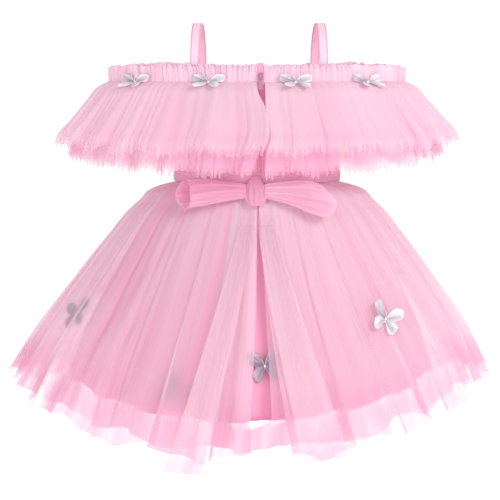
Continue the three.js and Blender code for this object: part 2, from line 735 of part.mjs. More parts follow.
// The slider: a body plate that rounds off at its foot, with a bridge that carries the pull tab
function sliderPlate() {
  const { width, height, thickness, topZ, y, shoulder, footInset } = SLIDER;
  const outline = new THREE.Shape();
  outline.moveTo(-width / 2, 0);
  outline.lineTo(width / 2, 0);
  outline.lineTo(width / 2, -height * shoulder);
  outline.lineTo(width / 2 - footInset, -height);
  outline.lineTo(-width / 2 + footInset, -height);
  outline.lineTo(-width / 2, -height * shoulder);
  outline.closePath();
  const plate = new THREE.ExtrudeGeometry(outline, { depth: thickness, bevelEnabled: false });
  plate.rotateX(Math.PI / 2);
  plate.translate(ZIP.x, y + thickness / 2, topZ);
  return plate;
}

function sliderBridge() {
  const { bridgeWidth, bridgeReach, bridgeLength, bridgeWall, bridgeCorner, bridgeSunk } = SLIDER;
  const arch = new THREE.Shape();
  arch.moveTo(bridgeSunk, 0);
  arch.lineTo(-bridgeReach + bridgeCorner, 0);
  arch.lineTo(-bridgeReach, -bridgeCorner);
  arch.lineTo(-bridgeReach, -bridgeLength + bridgeCorner);
  arch.lineTo(-bridgeReach + bridgeCorner, -bridgeLength);
  arch.lineTo(bridgeSunk, -bridgeLength);
  arch.closePath();
  const eye = new THREE.Path();
  eye.moveTo(0, -bridgeWall);
  eye.lineTo(0, -bridgeLength + bridgeWall);
  eye.lineTo(-bridgeReach + bridgeWall, -bridgeLength + bridgeWall);
  eye.lineTo(-bridgeReach + bridgeWall, -bridgeWall);
  eye.closePath();
  arch.holes.push(eye);
  const bridge = new THREE.ExtrudeGeometry(arch, { depth: bridgeWidth, bevelEnabled: false });
  bridge.applyMatrix4(new THREE.Matrix4().makeBasis(
    new THREE.Vector3(0, 1, 0),
    new THREE.Vector3(0, 0, 1),
    new THREE.Vector3(1, 0, 0)
  ));
  const topZ = SLIDER.topZ - SLIDER.bridgeBelowTop;
  bridge.translate(ZIP.x - bridgeWidth / 2, SLIDER.y - SLIDER.thickness / 2, topZ);
  return bridge;
}

const tabPivot = {
  y: SLIDER.y - SLIDER.thickness / 2 - (SLIDER.bridgeReach - SLIDER.bridgeWall) / 2,
  z: SLIDER.topZ - SLIDER.bridgeBelowTop - SLIDER.bridgeLength + SLIDER.bridgeWall + TAB.bar,
};

// The pull tab hangs from its top bar, which lies in the bridge's eye
function pullTab() {
  const { width, length, thickness, bar, slotWidth, slotLength, topHalf, neckHalf } = TAB;
  const neckZ = -slotLength - TAB.neckBelowSlot;
  const outline = new THREE.Shape();
  outline.moveTo(-topHalf, bar / 2);
  outline.lineTo(topHalf, bar / 2);
  outline.lineTo(neckHalf, neckZ);
  outline.lineTo(width / 2, -length * TAB.widestAt);
  outline.absarc(0, bar / 2 - length + width / 2, width / 2, 0, -Math.PI, true);
  outline.lineTo(-neckHalf, neckZ);
  outline.closePath();
  const slot = new THREE.Path();
  slot.moveTo(-slotWidth / 2, -bar / 2);
  slot.lineTo(-slotWidth / 2, -bar / 2 - slotLength);
  slot.lineTo(slotWidth / 2, -bar / 2 - slotLength);
  slot.lineTo(slotWidth / 2, -bar / 2);
  slot.closePath();
  outline.holes.push(slot);
  const flat = { depth: thickness, bevelEnabled: false, curveSegments: TAB.curveSegments };
  const tab = new THREE.ExtrudeGeometry(outline, flat);
  tab.rotateX(Math.PI / 2);
  tab.translate(ZIP.x, tabPivot.y + thickness / 2, tabPivot.z);
  return tab;
}

const slider = toSolid(sliderPlate()).add(toSolid(sliderBridge()));
addPiece("zip_slider", fromSolid(slider), FINISH.metal);
addPiece("zip_pull_tab", weldedGeometry(pullTab()), FINISH.metal);

// Butterflies: a fan of thin wing round the middle of the body, folded up along it
function butterflyGeometry(halfOutline, place) {
  const mirrored = halfOutline.slice(1, -1).reverse().map((point) => ({ x: -point.x, y: point.y }));
  const outline = [{ x: 0, y: 0 }, ...halfOutline, ...mirrored];
  const top = outline.map((point) => place(point.x, point.y, WING_WALL));
  const bottom = outline.map((point) => place(point.x, point.y, 0));
  const offset = outline.length;
  const count = offset - 1;
  const faces = [];
  for (let i = 0; i < count; i++) {
    const here = 1 + i;
    const next = 1 + ((i + 1) % count);
    faces.push(0, next, here);
    faces.push(offset, offset + here, offset + next);
    faces.push(here, next, offset + next);
    faces.push(here, offset + next, offset + here);
  }
  return meshGeometry([...top, ...bottom], faces);
}

// At the neck the upper wings lie on the casing and the lower wings on the shoulder of the ruffle
const NECK_WING = {
  clear: 2.2, downSlope: 1.5, lift: 0.1, foreshortened: 0.55, widening: 1.6, roundness: 1.2,
};
for (const { name, angle } of NECK_BUTTERFLIES) {
  const middle = degToRad(angle);
  const z = casingTop(middle) - CASING.height;
  const geometry = butterflyGeometry(WINGS.neck, (x, y, raised) => {
    const stretch = Math.hypot(1, NECK_WING.roundness * Math.cos(middle));
    const here = middle + x / NECK_WING.widening / CASING.halfDepth / stretch;
    const droop = y < 0 ? -y * NECK_WING.downSlope : 0;
    const out = CASING.wall / 2 + NECK_WING.clear + droop + NECK_WING.lift * Math.abs(x) + raised;
    const height = y < 0 ? z + y * NECK_WING.foreshortened : z + y;
    return planPoint(here, CASING.halfWidth + out, CASING.halfDepth + out, height + (y < 0 ? raised : 0));
  });
  addPiece(`butterfly_neck_${name}`, geometry, FINISH.wing);
}

// On the skirt each one lies flat across the gathers of the layer that carries it
for (const { name, on, angle, down, turn, lift } of SKIRT_BUTTERFLIES) {
  const layer = SKIRTS[on];
  const round = degToRad(angle);
  const middle = skirtMean(layer, round, down);
  const outward = skirtNormal(layer, round, down);
  const up = new THREE.Vector3(0, 0, 1).addScaledVector(outward, -outward.z).normalize();
  const along = up.clone().cross(outward);
  const crests = skirtWaveDepth(layer, 0, down) / unevenDepth(0, layer.seed);
  const clear = crests + NET_WALL / 2 + SEAM_GAP;
  const geometry = butterflyGeometry(WINGS.skirt, (x, y, raised) => {
    const turned = new THREE.Vector2(x, y).rotateAround(new THREE.Vector2(), degToRad(turn));
    return middle.clone()
      .addScaledVector(along, turned.x)
      .addScaledVector(up, turned.y)
      .addScaledVector(outward, clear + raised + lift * Math.abs(x));
  });
  addPiece(`butterfly_skirt_${name}`, geometry, FINISH.wing);
}

export default dress;
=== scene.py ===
# %% [markdown]
# # A toddler's party dress in net, seen from behind
#
# The dress is filled out as it is when worn, with nobody in it: an elastic neck casing with two
# ruffle layers off the shoulder, a close satin bodice, a sash tied in a bow at the back, and a
# skirt of two gathered nets over a satin underskirt. Everything below is a surface written as a
# function of two numbers, "across" (round the dress) and "down" (from the seam to the hem).

import bpy
import numpy as np
from mathutils import Matrix, Vector


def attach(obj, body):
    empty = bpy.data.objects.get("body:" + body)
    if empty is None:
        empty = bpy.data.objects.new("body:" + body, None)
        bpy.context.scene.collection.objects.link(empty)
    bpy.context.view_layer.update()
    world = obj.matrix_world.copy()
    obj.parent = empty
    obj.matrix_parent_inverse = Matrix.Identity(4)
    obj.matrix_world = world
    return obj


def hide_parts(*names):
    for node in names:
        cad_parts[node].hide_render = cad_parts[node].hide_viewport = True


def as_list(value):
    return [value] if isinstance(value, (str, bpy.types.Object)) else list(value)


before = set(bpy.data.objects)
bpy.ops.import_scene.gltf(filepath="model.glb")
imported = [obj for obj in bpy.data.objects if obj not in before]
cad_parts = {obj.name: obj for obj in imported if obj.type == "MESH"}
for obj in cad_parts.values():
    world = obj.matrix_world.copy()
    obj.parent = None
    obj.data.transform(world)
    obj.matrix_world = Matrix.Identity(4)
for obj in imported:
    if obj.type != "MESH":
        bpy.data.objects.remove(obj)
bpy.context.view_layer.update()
MM = 0.001
TURN = 2 * np.pi

# %% [markdown]
# ## Tables and how they are read
#
# A pattern cutter notes a garment as a few widths at a few heights. Small tables with named
# columns do the same here, and a smooth curve through their rows gives the width at any height.
# A straight line between the rows would leave a kink at each row, which shiny cloth shows up.


# %% Reading a table
def table(columns, *rows):
    """Each row as a dictionary, under the names of the columns."""
    return [dict(zip(columns.split(), row)) for row in rows]


def between_rows(rows, key, column, at):
    """Two columns as arrays, the row before each value, and the share of the way to the next."""
    x, y = (np.array([row[name] for row in rows], float) for name in (key, column))
    i = np.clip(np.searchsorted(x, at, side="right") - 1, 0, len(x) - 2)
    return x, y, i, np.clip((at - x[i]) / (x[i + 1] - x[i]), 0, 1)


def look_up(rows, key, column, at):
    """A smooth curve through a table's rows: between two rows, the cubic with their slopes."""
    x, y, i, t = between_rows(rows, key, column, np.asarray(at, float))
    slope = np.gradient(y, x)
    width = x[i + 1] - x[i]
    start = (1 + 2 * t) * (1 - t) ** 2 * y[i] + t * (1 - t) ** 2 * width * slope[i]
    end = t * t * (3 - 2 * t) * y[i + 1] - t * t * (1 - t) * width * slope[i + 1]
    return start + end


def ease_up(rows, key, column, at):
    """Steps from row to row with a level start and end: t*t*(3 - 2t) of the way."""
    x, y, i, t = between_rows(rows, key, column, np.asarray(at, float))
    return y[i] + (y[i + 1] - y[i]) * t * t * (3 - 2 * t)


def mix(a, b, share):
    """a + (b - a) * share."""
    return a + (b - a) * share


def smooth_step(value, low, high):
    """0 below low, 1 above high, and t*t*(3 - 2t) between them."""
    t = np.clip((value - low) / (high - low), 0, 1)
    return t * t * (3 - 2 * t)


# %% Sizes of the dress, in millimetres
CASING = {"half_width": 167, "half_depth": 76.5, "height": 19, "wall": 3}
CASING_TOP = table("angle z", (0, -48.5), (60, -47.5), (100, -46), (145, -40.5), (180, -44.5))
CASING_SHOULDER = np.radians(38)
WAIST = {"z": -177.5, "half_width": 93, "half_depth": 76}
BODICE = table(
    "below half_width half_depth square",
    (62, 99, 75, 2.5), (100, 99, 76, 2.4), (140, 95, 76, 2.2), (178, 93, 76, 2.05),
)
BODICE_TOP = table(
    "angle z", (0, -69.5), (38, -69.5), (62, -84), (90, -100), (118, -82), (140, -64), (180, -66)
)
ZIP_X = 3.5
ZIP_HALF = 3.65
print("rows in the bodice's tables:", len(BODICE), len(BODICE_TOP))

# %% [markdown]
# ## From a grid of points to a mesh
#
# Cloth is a grid: rows run across it and columns run down it. The grid becomes a mesh in one
# step, without a loop over its points. Each point also keeps its place on the flat cut, in
# metres, as a UV. A weave made from that UV has the same size on every piece.


# %% Mesh helpers
def plan(angle, half_width, half_depth, square=2.0):
    """x and y of a plan section: sine and cosine, each to the power 2 / square."""
    power = 2 / square
    s, c = np.sin(angle), np.cos(angle)
    x = half_width * np.sign(s) * np.abs(s) ** power
    y = -half_depth * np.sign(c) * np.abs(c) ** power
    return x, y


def stacked(x, y, z):
    """Three arrays as one array of points."""
    return np.stack(np.broadcast_arrays(x, y, z), axis=-1)


def unit(vectors):
    """Vectors divided by their lengths."""
    return vectors / np.maximum(np.linalg.norm(vectors, axis=-1, keepdims=True), 1e-9)


def grid_faces(rows, columns, closed):
    """Four corners per cell, as numbers of points; a closed grid's last column joins its first."""
    number = np.arange(rows * columns).reshape(rows, columns)
    if closed:
        number = np.hstack([number, number[:, :1]])
    corners = [number[:-1, :-1], number[1:, :-1], number[1:, 1:], number[:-1, 1:]]
    return np.stack(corners, axis=-1).reshape(-1, 4)


def fan(ring):
    """Faces of four corners that close a ring with an even number of points."""
    i = np.arange(1, len(ring) - 2, 2)
    return np.stack([np.full(len(i), ring[0]), ring[i], ring[i + 1], ring[i + 2]], axis=-1)


def with_caps(faces, rows, columns, first=True, last=True):
    """The faces, and the faces that close the first and the last row of a closed grid."""
    ring = np.arange(columns)
    parts = [faces] + [fan(ring)] * first + [fan((rows - 1) * columns + ring[::-1])] * last
    return np.concatenate(parts)


def in_scene(name, data):
    """A new object in the scene, at the origin."""
    made = bpy.data.objects.new(name, data)
    bpy.context.scene.collection.objects.link(made)
    return made


# %% Cloth and sewing
def cloth(name, points, cut, closed=False, valley=0.5, caps=(False, False), close=1.0):
    """A mesh from a grid of points in millimetres. cut is the flat (length across, length down)
    in metres. Each point gets its place on the cut, its valley, a painted shade from 0 on a fold's
    crest to 1 in its depth, and how closely it is gathered: the cut's length over the length of
    the row, times close."""
    rows, columns = points.shape[:2]
    mesh = bpy.data.meshes.new(name)
    faces = with_caps(grid_faces(rows, columns, closed), rows, columns, *caps)
    mesh.from_pydata((points.reshape(-1, 3) * MM).tolist(), [], faces.tolist())
    steps = columns if closed else columns - 1
    corner = grid_faces(rows, steps + 1, False)
    capped = faces[len(corner):]
    corner = np.concatenate([corner, capped // columns * (steps + 1) + capped % columns])
    place = [corner % (steps + 1) / steps * cut[0], corner // (steps + 1) / (rows - 1) * cut[1]]
    uv = mesh.uv_layers.new(name="cut")
    uv.data.foreach_set("uv", np.stack(place, axis=-1).astype(np.float32).ravel())
    loop = np.concatenate([points, points[:, :1]], axis=1) if closed else points
    length = np.linalg.norm(np.diff(loop, axis=1), axis=-1).sum(axis=1) * MM
    gathered = np.maximum(cut[0] / length, 1)[:, None] * np.broadcast_to(close, (rows, columns))
    deep = np.broadcast_to(valley, (rows, columns))
    for key, values in (("gathered", gathered), ("valley", deep)):
        kept = mesh.attributes.new(key, "FLOAT", "POINT")
        kept.data.foreach_set("value", values.astype(np.float32).ravel())
    mesh.shade_smooth()
    return in_scene(name, mesh)


def sew(name, node, points, cut, finish, slot, held, rests_on, area=None, along=(), wall=0, **form):
    """Makes a piece of cloth, puts it on the dress in place of its CAD node, and states its cut.
    wall is the thickness in millimetres, half to each side, of a close cloth."""
    piece = cloth(name, points, cut, **form)
    if wall:
        solid = piece.modifiers.new("wall", "SOLIDIFY")
        solid.thickness = wall * MM
        solid.offset = 0
    piece.data.materials.append(finish)
    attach(piece, "dress")
    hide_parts(node)
    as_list(along)
    share = sum(face.area for face in piece.data.polygons) / (area or cut[0] * cut[1])
    print(f"{name}: {len(piece.data.polygons)} faces, cut {cut[0]} x {cut[1]} m, {share:.2f} of it")


# %% [markdown]
# ## Shader sums
#
# A finish is a sum of waves and noises. Written with nodes, each plus sign is a box and a wire.
# A small class that stands for a socket and knows + - * / lets the finish be written as a sum,
# and it still adds ordinary Math nodes that anybody can open in the shader editor.


# %% A socket that can be used in sums
class Signal:
    """One output of a node. Sums with numbers or other signals add Math nodes."""

    def __init__(self, finish, socket):
        self.finish = finish
        self.socket = socket

    def maths(self, operation, first, second=0.0):
        return self.finish.node("ShaderNodeMath", {"operation": operation}, {0: first, 1: second})

    def __add__(self, other):
        return self.maths("ADD", self, other)

    def __radd__(self, other):
        return self.maths("ADD", other, self)

    def __sub__(self, other):
        return self.maths("SUBTRACT", self, other)

    def __rsub__(self, other):
        return self.maths("SUBTRACT", other, self)

    def __mul__(self, other):
        return self.maths("MULTIPLY", self, other)

    def __rmul__(self, other):
        return self.maths("MULTIPLY", other, self)

    def __truediv__(self, other):
        return self.maths("DIVIDE", self, other)

    def __rtruediv__(self, other):
        return self.maths("DIVIDE", other, self)

    def __pow__(self, other):
        return self.maths("POWER", self, other)

    def __rpow__(self, other):
        return self.maths("POWER", other, self)

    def sine(self):
        return self.maths("SINE", self)

    def size(self):
        return self.maths("ABSOLUTE", self)


# %% A material under construction
class Finish:
    """A material whose nodes are added one by one."""

    def __init__(self, name):
        self.material = bpy.data.materials.new(name)
        self.material.use_nodes = True
        self.tree = self.material.node_tree
        self.tree.nodes.clear()

    def node(self, kind, settings, inputs, output=0):
        """Adds a node of a kind, with its settings and its inputs by name or number."""
        made = self.tree.nodes.new(kind)
        for key, value in settings.items():
            setattr(made, key, value)
        for key, value in inputs.items():
            if isinstance(value, Signal):
                self.tree.links.new(value.socket, made.inputs[key])
            else:
                made.inputs[key].default_value = value
        return Signal(self, made.outputs[output])

    def blend(self, first, second, factor):
        """A colour between two colours."""
        settings = {"data_type": "RGBA"}
        return self.node("ShaderNodeMix", settings, {0: factor, 6: first, 7: second}, output=2)

    def clamp(self, value, low=0.0, high=1.0):
        """The value, kept between low and high."""
        return self.node("ShaderNodeClamp", {}, {0: value, 1: low, 2: high})

    def kept(self, name):
        """A value that the mesh keeps at each point."""
        return self.node("ShaderNodeAttribute", {"attribute_name": name}, {}, output=2)

    def principled(self, inputs):
        """The usual shader."""
        return self.node("ShaderNodeBsdfPrincipled", {}, inputs)

    def shared(self, share, first, second):
        """Two shaders, of which the second has this share."""
        return self.node("ShaderNodeMixShader", {}, {0: share, 1: first, 2: second})

    def surface(self, shader):
        """Ends the material with this shader."""
        end = self.tree.nodes.new("ShaderNodeOutputMaterial")
        self.tree.links.new(shader.socket, end.inputs["Surface"])
        return self.material

    def on_cut(self):
        """Where a point lies on the flat cut, in metres: across, and down."""
        place = self.node("ShaderNodeUVMap", {"uv_map": "cut"}, {})
        across = self.node("ShaderNodeSeparateXYZ", {}, {0: place})
        return across, Signal(self, across.socket.node.outputs[1])

    def streaks(self, across, down, fine, long):
        """Noise drawn out along the folds: fine per metre across and long per metre down."""
        place = self.node("ShaderNodeCombineXYZ", {}, {0: across * fine, 1: down * long})
        inputs = {"Vector": place, "Scale": 1.0, "Detail": 2.0}
        return self.node("ShaderNodeTexNoise", {}, inputs)


def colour(red, green, blue):
    """A colour as a picture editor gives it, 0 to 255, as the linear values that Blender mixes."""
    share = np.array([red, green, blue]) / 255
    linear = np.where(share <= 0.04045, share / 12.92, ((share + 0.055) / 1.055) ** 2.4)
    return (*linear.tolist(), 1.0)


# %% [markdown]
# ## Net
#
# Net is mostly holes. One layer lets most of the light through, and a gathered one hardly any,
# because many layers lie behind each other. So a layer's cover follows how closely it is
# gathered: if one flat layer lets the share 1 - c through, g layers let (1 - c) to the power g
# through. The holes themselves are finer than the picture, so they show as that share.


# %% Net finishes
THREADS, BANDS, PANELS = (420, 4), (45, 1.5), (17, 0.9)  # streaks to the metre, across and down
HOLE_WAVE = TURN * 900
NET_THROUGH = colour(240, 178, 206)
# The deeper colour of the net's lowest part, as painted shade.
NET_HEM_SHADE = colour(231, 176, 202)


def net_finish(
    name, light, deep, cover, streak=0.16, folds=0.5, fray=None, hem=None, rise=1000, lines=1.0
):
    """Net in a colour between light and deep, with a share cover of thread in one flat layer.
    folds is how much painted shade a fold's depth adds. fray and hem are places down the cut, in
    metres: from fray on the edge thins out between threads, and from hem on, where nothing dark
    lies behind the net, its threads are painted deeper in colour, as painted shade, and lie
    closer. rise is how fast the cover comes up from the first edge, per metre, and lines how much
    the finest streaks tint it with painted light and shade."""
    finish = Finish(name)
    across, down = finish.on_cut()
    gathered, valley = finish.kept("gathered"), finish.kept("valley")
    threads = finish.streaks(across, down, *THREADS) - 0.5
    bands = finish.streaks(across, down, *BANDS) - 0.5
    panels = finish.streaks(across, down, *PANELS) - 0.5
    deep_in = valley - 0.5
    holes = (across * HOLE_WAVE).sine() * (down * HOLE_WAVE).sine()
    uneven = threads * (2.5 * streak) + bands * (2 * streak)
    uneven = uneven + panels * (3 * streak) + deep_in * 0.25
    thread_share = (1 - (1 - cover) ** gathered) * (1 + uneven) + holes * 0.02
    # Painted shade in fold depths, and painted light and shade in streaks along the folds.
    tint = deep_in * folds + threads * (0.6 * lines) + bands * 0.8 + panels * 1.6 + 0.29
    tint = finish.blend(colour(*light), colour(*deep), finish.clamp(tint))
    # From hem on: painted shade, a deeper colour, and a closer cover.
    if hem:
        low = finish.clamp((down - hem) * 30)
        thread_share = thread_share * (1 + low * (0.42 + bands * 2.4))
        tint = finish.blend(tint, NET_HEM_SHADE, low * 0.85)
    thread_share = thread_share * finish.clamp(down * rise + 0.05)
    if fray:
        near, thin = finish.clamp((down - fray) * 90), finish.clamp((threads + 0.08) * 7)
        thread_share = thread_share * (1 - near * (0.25 + thin * 0.7))
    inputs = {"Base Color": tint, "Roughness": 0.75, "Sheen Weight": 0.2, "Sheen Roughness": 0.5}
    cloth_light = finish.principled({**inputs, "Specular IOR Level": 0.2})
    through = finish.node("ShaderNodeBsdfTranslucent", {}, {"Color": NET_THROUGH})
    gap = finish.node("ShaderNodeBsdfTransparent", {}, {"Color": (1, 1, 1, 1)})
    lit = finish.shared(0.3, cloth_light, through)
    return finish.surface(finish.shared(finish.clamp(thread_share, 0.02, 0.985), gap, lit))


NET_PALE = ((250, 233, 242), (240, 186, 209))
NET_SOFT = ((246, 228, 238), (240, 197, 217))
NET_MIDDLE = ((248, 207, 226), (238, 172, 201))
NET_DEEPER = ((242, 200, 219), (231, 165, 194))
NET_DARK = ((245, 193, 216), (232, 152, 187))
net_skirt = net_finish("net_skirt", *NET_PALE, 0.4, hem=0.225)
net_skirt_inner = net_finish("net_skirt_inner", *NET_PALE, 0.38, hem=0.215)
net_ruffle = net_finish("net_ruffle", *NET_SOFT, 0.62, streak=0.08, fray=0.084)
# The lower ruffle's net in deeper tones, as painted shade under the upper ruffle.
net_ruffle_under_painted_shade = net_finish("net_ruffle_under_painted_shade", *NET_DEEPER, 0.68, streak=0.1, fray=0.099)
# The bow's net in two copies: darker as painted shade (left loop), lighter as painted light.
net_bow_painted_shade = net_finish("net_bow_painted_shade", *NET_DARK, 0.7, streak=0.1, folds=1.1, lines=2.6)
net_bow_painted_light = net_finish("net_bow_painted_light", *NET_MIDDLE, 0.7, streak=0.1, folds=1.1, lines=2.6)
net_knot = net_finish("net_knot", *NET_DARK, 0.8, streak=0.1, folds=0.8, fray=0.017, lines=2)
net_tail = net_finish("net_tail", *NET_PALE, 0.42, hem=0.24, rise=30)
net_casing = net_finish("net_casing", *NET_SOFT, 0.88, streak=0.06, folds=1.1, lines=0.4)
print("net finishes:", len(bpy.data.materials))

# %% [markdown]
# ## Satin, elastic, tape, metal and pearl
#
# Satin is smooth and a little shiny, with a weave too fine to see. Picot elastic has ribs across
# it. The zip is nylon tape with coil teeth and a small metal slider.


# %% Other finishes
def plain_finish(name, light, deep, settings, weave, depth):
    """A cloth or metal between two colours, with faint streaks, and ribs that stand up by depth:
    weave / 20 waves to the metre, up and down."""
    finish = Finish(name)
    place = finish.node("ShaderNodeTexCoord", {}, {}, output=3)
    scale = (weave * 0.02, weave * 0.02, weave * 0.004)
    stretched = finish.node("ShaderNodeVectorMath", {"operation": "MULTIPLY"}, {0: place, 1: scale})
    fine = {"Vector": stretched, "Scale": 1.0, "Detail": 3.0}
    grain = finish.node("ShaderNodeTexNoise", {}, fine)
    ribs = {"Vector": place, "Scale": weave / 20}
    height = finish.node("ShaderNodeTexWave", {"bands_direction": "Z"}, ribs)
    bump = {"Height": height, "Strength": depth, "Distance": RIB_HEIGHT}
    tint = finish.blend(colour(*light), colour(*deep), grain)
    normal = finish.node("ShaderNodeBump", {}, bump)
    return finish.surface(finish.principled({"Base Color": tint, "Normal": normal, **settings}))


RIB_HEIGHT = 0.0003
SATIN = {"Roughness": 0.5, "Sheen Weight": 0.2}
TAPE_NYLON, TEETH_NYLON = {"Roughness": 0.8}, {"Roughness": 0.4}
METAL = {"Roughness": 0.22, "Metallic": 0.8}
PEARL = {"Roughness": 0.15, "Coat Weight": 0.8}
satin = plain_finish("satin", (236, 161, 192), (229, 149, 182), SATIN, 400, 0.1)
satin_bodice = plain_finish("satin_bodice", (240, 172, 202), (232, 156, 190), SATIN, 400, 0.1)
zip_tape = plain_finish("zip_tape", (238, 160, 192), (230, 150, 184), TAPE_NYLON, 900, 0.4)
teeth_finish = plain_finish("zip_teeth", (226, 142, 178), (218, 134, 170), TEETH_NYLON, 900, 0)
zip_metal = plain_finish("zip_metal", (236, 176, 200), (206, 140, 168), METAL, 300, 0)
pearl = plain_finish("pearl", (250, 244, 246), (232, 222, 230), PEARL, 200, 0)


# %% Elastic and wings
ELASTIC = {"width": 0.0105, "rib": 0.0013, "loop": 0.0056}


def elastic_finish():
    """Ribs 1.3 mm apart across the elastic, and painted shade in the gap between the loops along
    each edge.
    """
    finish = Finish("elastic")
    across, down = finish.on_cut()
    ribs = (down * (TURN / ELASTIC["rib"])).sine() * 0.5 + 0.5
    edge = finish.clamp(((across / ELASTIC["width"] - 0.5).size() * 2 - 0.74) * 8)
    gaps = finish.clamp(((down * (TURN / ELASTIC["loop"])).sine().size() - 0.55) * 4)
    tint = finish.blend(colour(249, 208, 226), colour(243, 194, 215), ribs)
    # Painted shade in the gaps between the edge loops.
    tint = finish.blend(tint, colour(196, 112, 146), edge * (1 - gaps))
    bump = {"Height": ribs, "Strength": 0.5, "Distance": RIB_HEIGHT}
    normal = finish.node("ShaderNodeBump", {}, bump)
    inputs = {"Base Color": tint, "Roughness": 0.7, "Normal": normal}
    return finish.surface(finish.principled(inputs))


def wing_finish(name, light, deep):
    """Satin whose painted shade is light at the wings' edges and deep where it is gathered in the
    middle, with streaks of painted shade that run outwards like creases. On a wing, down is the
    way from the middle to the edge."""
    finish = Finish(name)
    creases = finish.streaks(*finish.on_cut(), 520, 30)
    shade = finish.clamp(finish.kept("valley") * 0.9 + (creases - 0.5) * 1.5)
    tint = finish.blend(colour(*light), colour(*deep), shade)
    inputs = {"Base Color": tint, "Roughness": 0.3, "Sheen Weight": 0.3, "Coat Weight": 0.25}
    through = finish.node("ShaderNodeBsdfTranslucent", {}, {"Color": tint})
    return finish.surface(finish.shared(0.2, finish.principled(inputs), through))


elastic = elastic_finish()
# White satin with painted shade, and two darker copies of it as painted shade.
wing_satin = wing_finish("wing_satin", (252, 249, 252), (176, 160, 178))
wing_painted_half_shade = wing_finish("wing_painted_half_shade", (206, 186, 204), (150, 126, 148))
wing_painted_shade = wing_finish("wing_painted_shade", (160, 142, 160), (104, 86, 104))
print("finishes:", len(bpy.data.materials))

# %% [markdown]
# ## Gathers
#
# Gathers run from the seam to the hem and are never even: their spacing and depth wander. One
# wave in and out makes a soft fold. A second movement, sideways, makes the flank of the fold
# overhang, so three layers lie behind each other there, and net looks denser along that line.


# %% Gathers
SPACING_WANDER = table("times amount phase", (3, 0.12, 1), (8, 0.2, 2))
DEPTH_WANDER = table("times amount phase", (5, 0.22, 1), (11, 0.18, 3))


def wander(row, share, seed):
    """amount * sin(turns * times * share + phase * seed)."""
    return row["amount"] * np.sin(TURN * row["times"] * share + row["phase"] * seed)


def uneven_spacing(share, seed):
    """The share plus two slow waves, which leave both ends where they are."""
    moved = 0
    for row in SPACING_WANDER:
        moved = moved + (wander(row, share, seed) - wander(row, 0, seed)) / row["times"]
    return share + moved / TURN


def uneven_depth(share, seed):
    """1 plus two slow waves."""
    return 1 + sum(wander(row, share, seed) for row in DEPTH_WANDER)


def gather(share, waves):
    """The main gathers, as a phase: one turn for each of them, from an eighth on."""
    return TURN * (waves * share + 1 / 8)


def ripple(share, waves, seed):
    """Small gathers whose spacing wanders more: a wave whose phase has two slower waves in it."""
    slow = 1.7 * np.sin(TURN * 13 * share + seed) + 1.1 * np.sin(TURN * 29 * share + 2 * seed)
    return TURN * waves * share + slow


def gathered_cloth(mean, outward, depth, phase, lean, small, small_phase):
    """Moves a smooth surface in and out by depth * cos(phase) + small * cos(small phase), and
    sideways by depth * (lean * cos(phase) + sin(2 * phase) / 2) + small * sin(small phase) / 2.
    The valley, a painted shade for the folds' depths, is 1/2 less half of the movement outwards,
    as a share of the most that it can be."""
    sideways = np.stack([-outward[..., 1], outward[..., 0], 0 * outward[..., 0]], axis=-1)
    out = depth * np.cos(phase) + small * np.cos(small_phase)
    side = depth * (lean * np.cos(phase) + 0.5 * np.sin(2 * phase))
    side = side + 0.5 * small * np.sin(small_phase)
    valley = 0.5 - 0.5 * out / (np.abs(depth) + np.abs(small) + 0.2)
    return mean + outward * out[..., None] + sideways * side[..., None], valley


def fold_lines(rows, angle, down):
    """The folds listed in a table: the sum of strength * exp(-(degrees away / width)^2), where a
    fold goes from its angle at the seam to its angle at the hem, and fades out past its end."""
    degrees = (np.degrees(angle) + 180) % 360 - 180
    total = 0 * degrees
    for row in rows:
        away = (degrees - mix(row["top"], row["hem"], down)) / row["width"]
        lasts = 1 - smooth_step(down, row["end"], row["end"] + 0.3)
        total = total + row["strength"] * np.exp(-away * away) * lasts
    return total


def grid(columns, rows, closed=False):
    """across and down, each as a grid of rows by columns."""
    across = np.arange(columns) / columns if closed else np.linspace(0, 1, columns + 1)
    return np.meshgrid(across, np.linspace(0, 1, rows + 1))


# %% [markdown]
# ## The skirt's shape
#
# The nets stand away from the body in a bell: they leave the waist almost level, then fall more
# and more steeply. Each layer's hem is an oval, higher at the sides than at the back.

# %% Skirt sizes
SKIRT_PROFILE = table(
    "fall side back",
    (0, 0, 0), (0.015, 0.075, 0.02), (0.1, 0.226, 0.115), (0.28, 0.42, 0.31), (0.52, 0.64, 0.56),
    (0.78, 0.86, 0.82), (1, 1, 1),
)
SKIRTS = {
    "outer": {
        "waist_out": 2.4, "waist_z": -178.4, "half_width": 269, "half_depth": 205, "side_fall": 216,
        "back_fall": 277, "waves": 38, "depth": 6, "uneven": 5, "seed": 2,
    },
    "inner": {
        "waist_out": 1.2, "waist_z": -181.4, "half_width": 254, "half_depth": 190, "side_fall": 207,
        "back_fall": 270, "waves": 28, "depth": 4, "uneven": 4, "seed": 5,
    },
    "under": {
        "waist_out": 0, "waist_z": -184.4, "half_width": 206, "half_depth": 165, "side_fall": 208,
        "back_fall": 239, "waves": 16, "depth": 3.6, "uneven": 1.5, "seed": 7,
    },
}
NET_SLITS = {
    "outer": {"left": 10, "left_curve": 2.5, "right": 45, "right_curve": 1.4},
    "inner": {"left": 8, "left_curve": 2, "right": 26, "right_curve": 0.6},
}
SLIT_AT_WAIST = 0.2
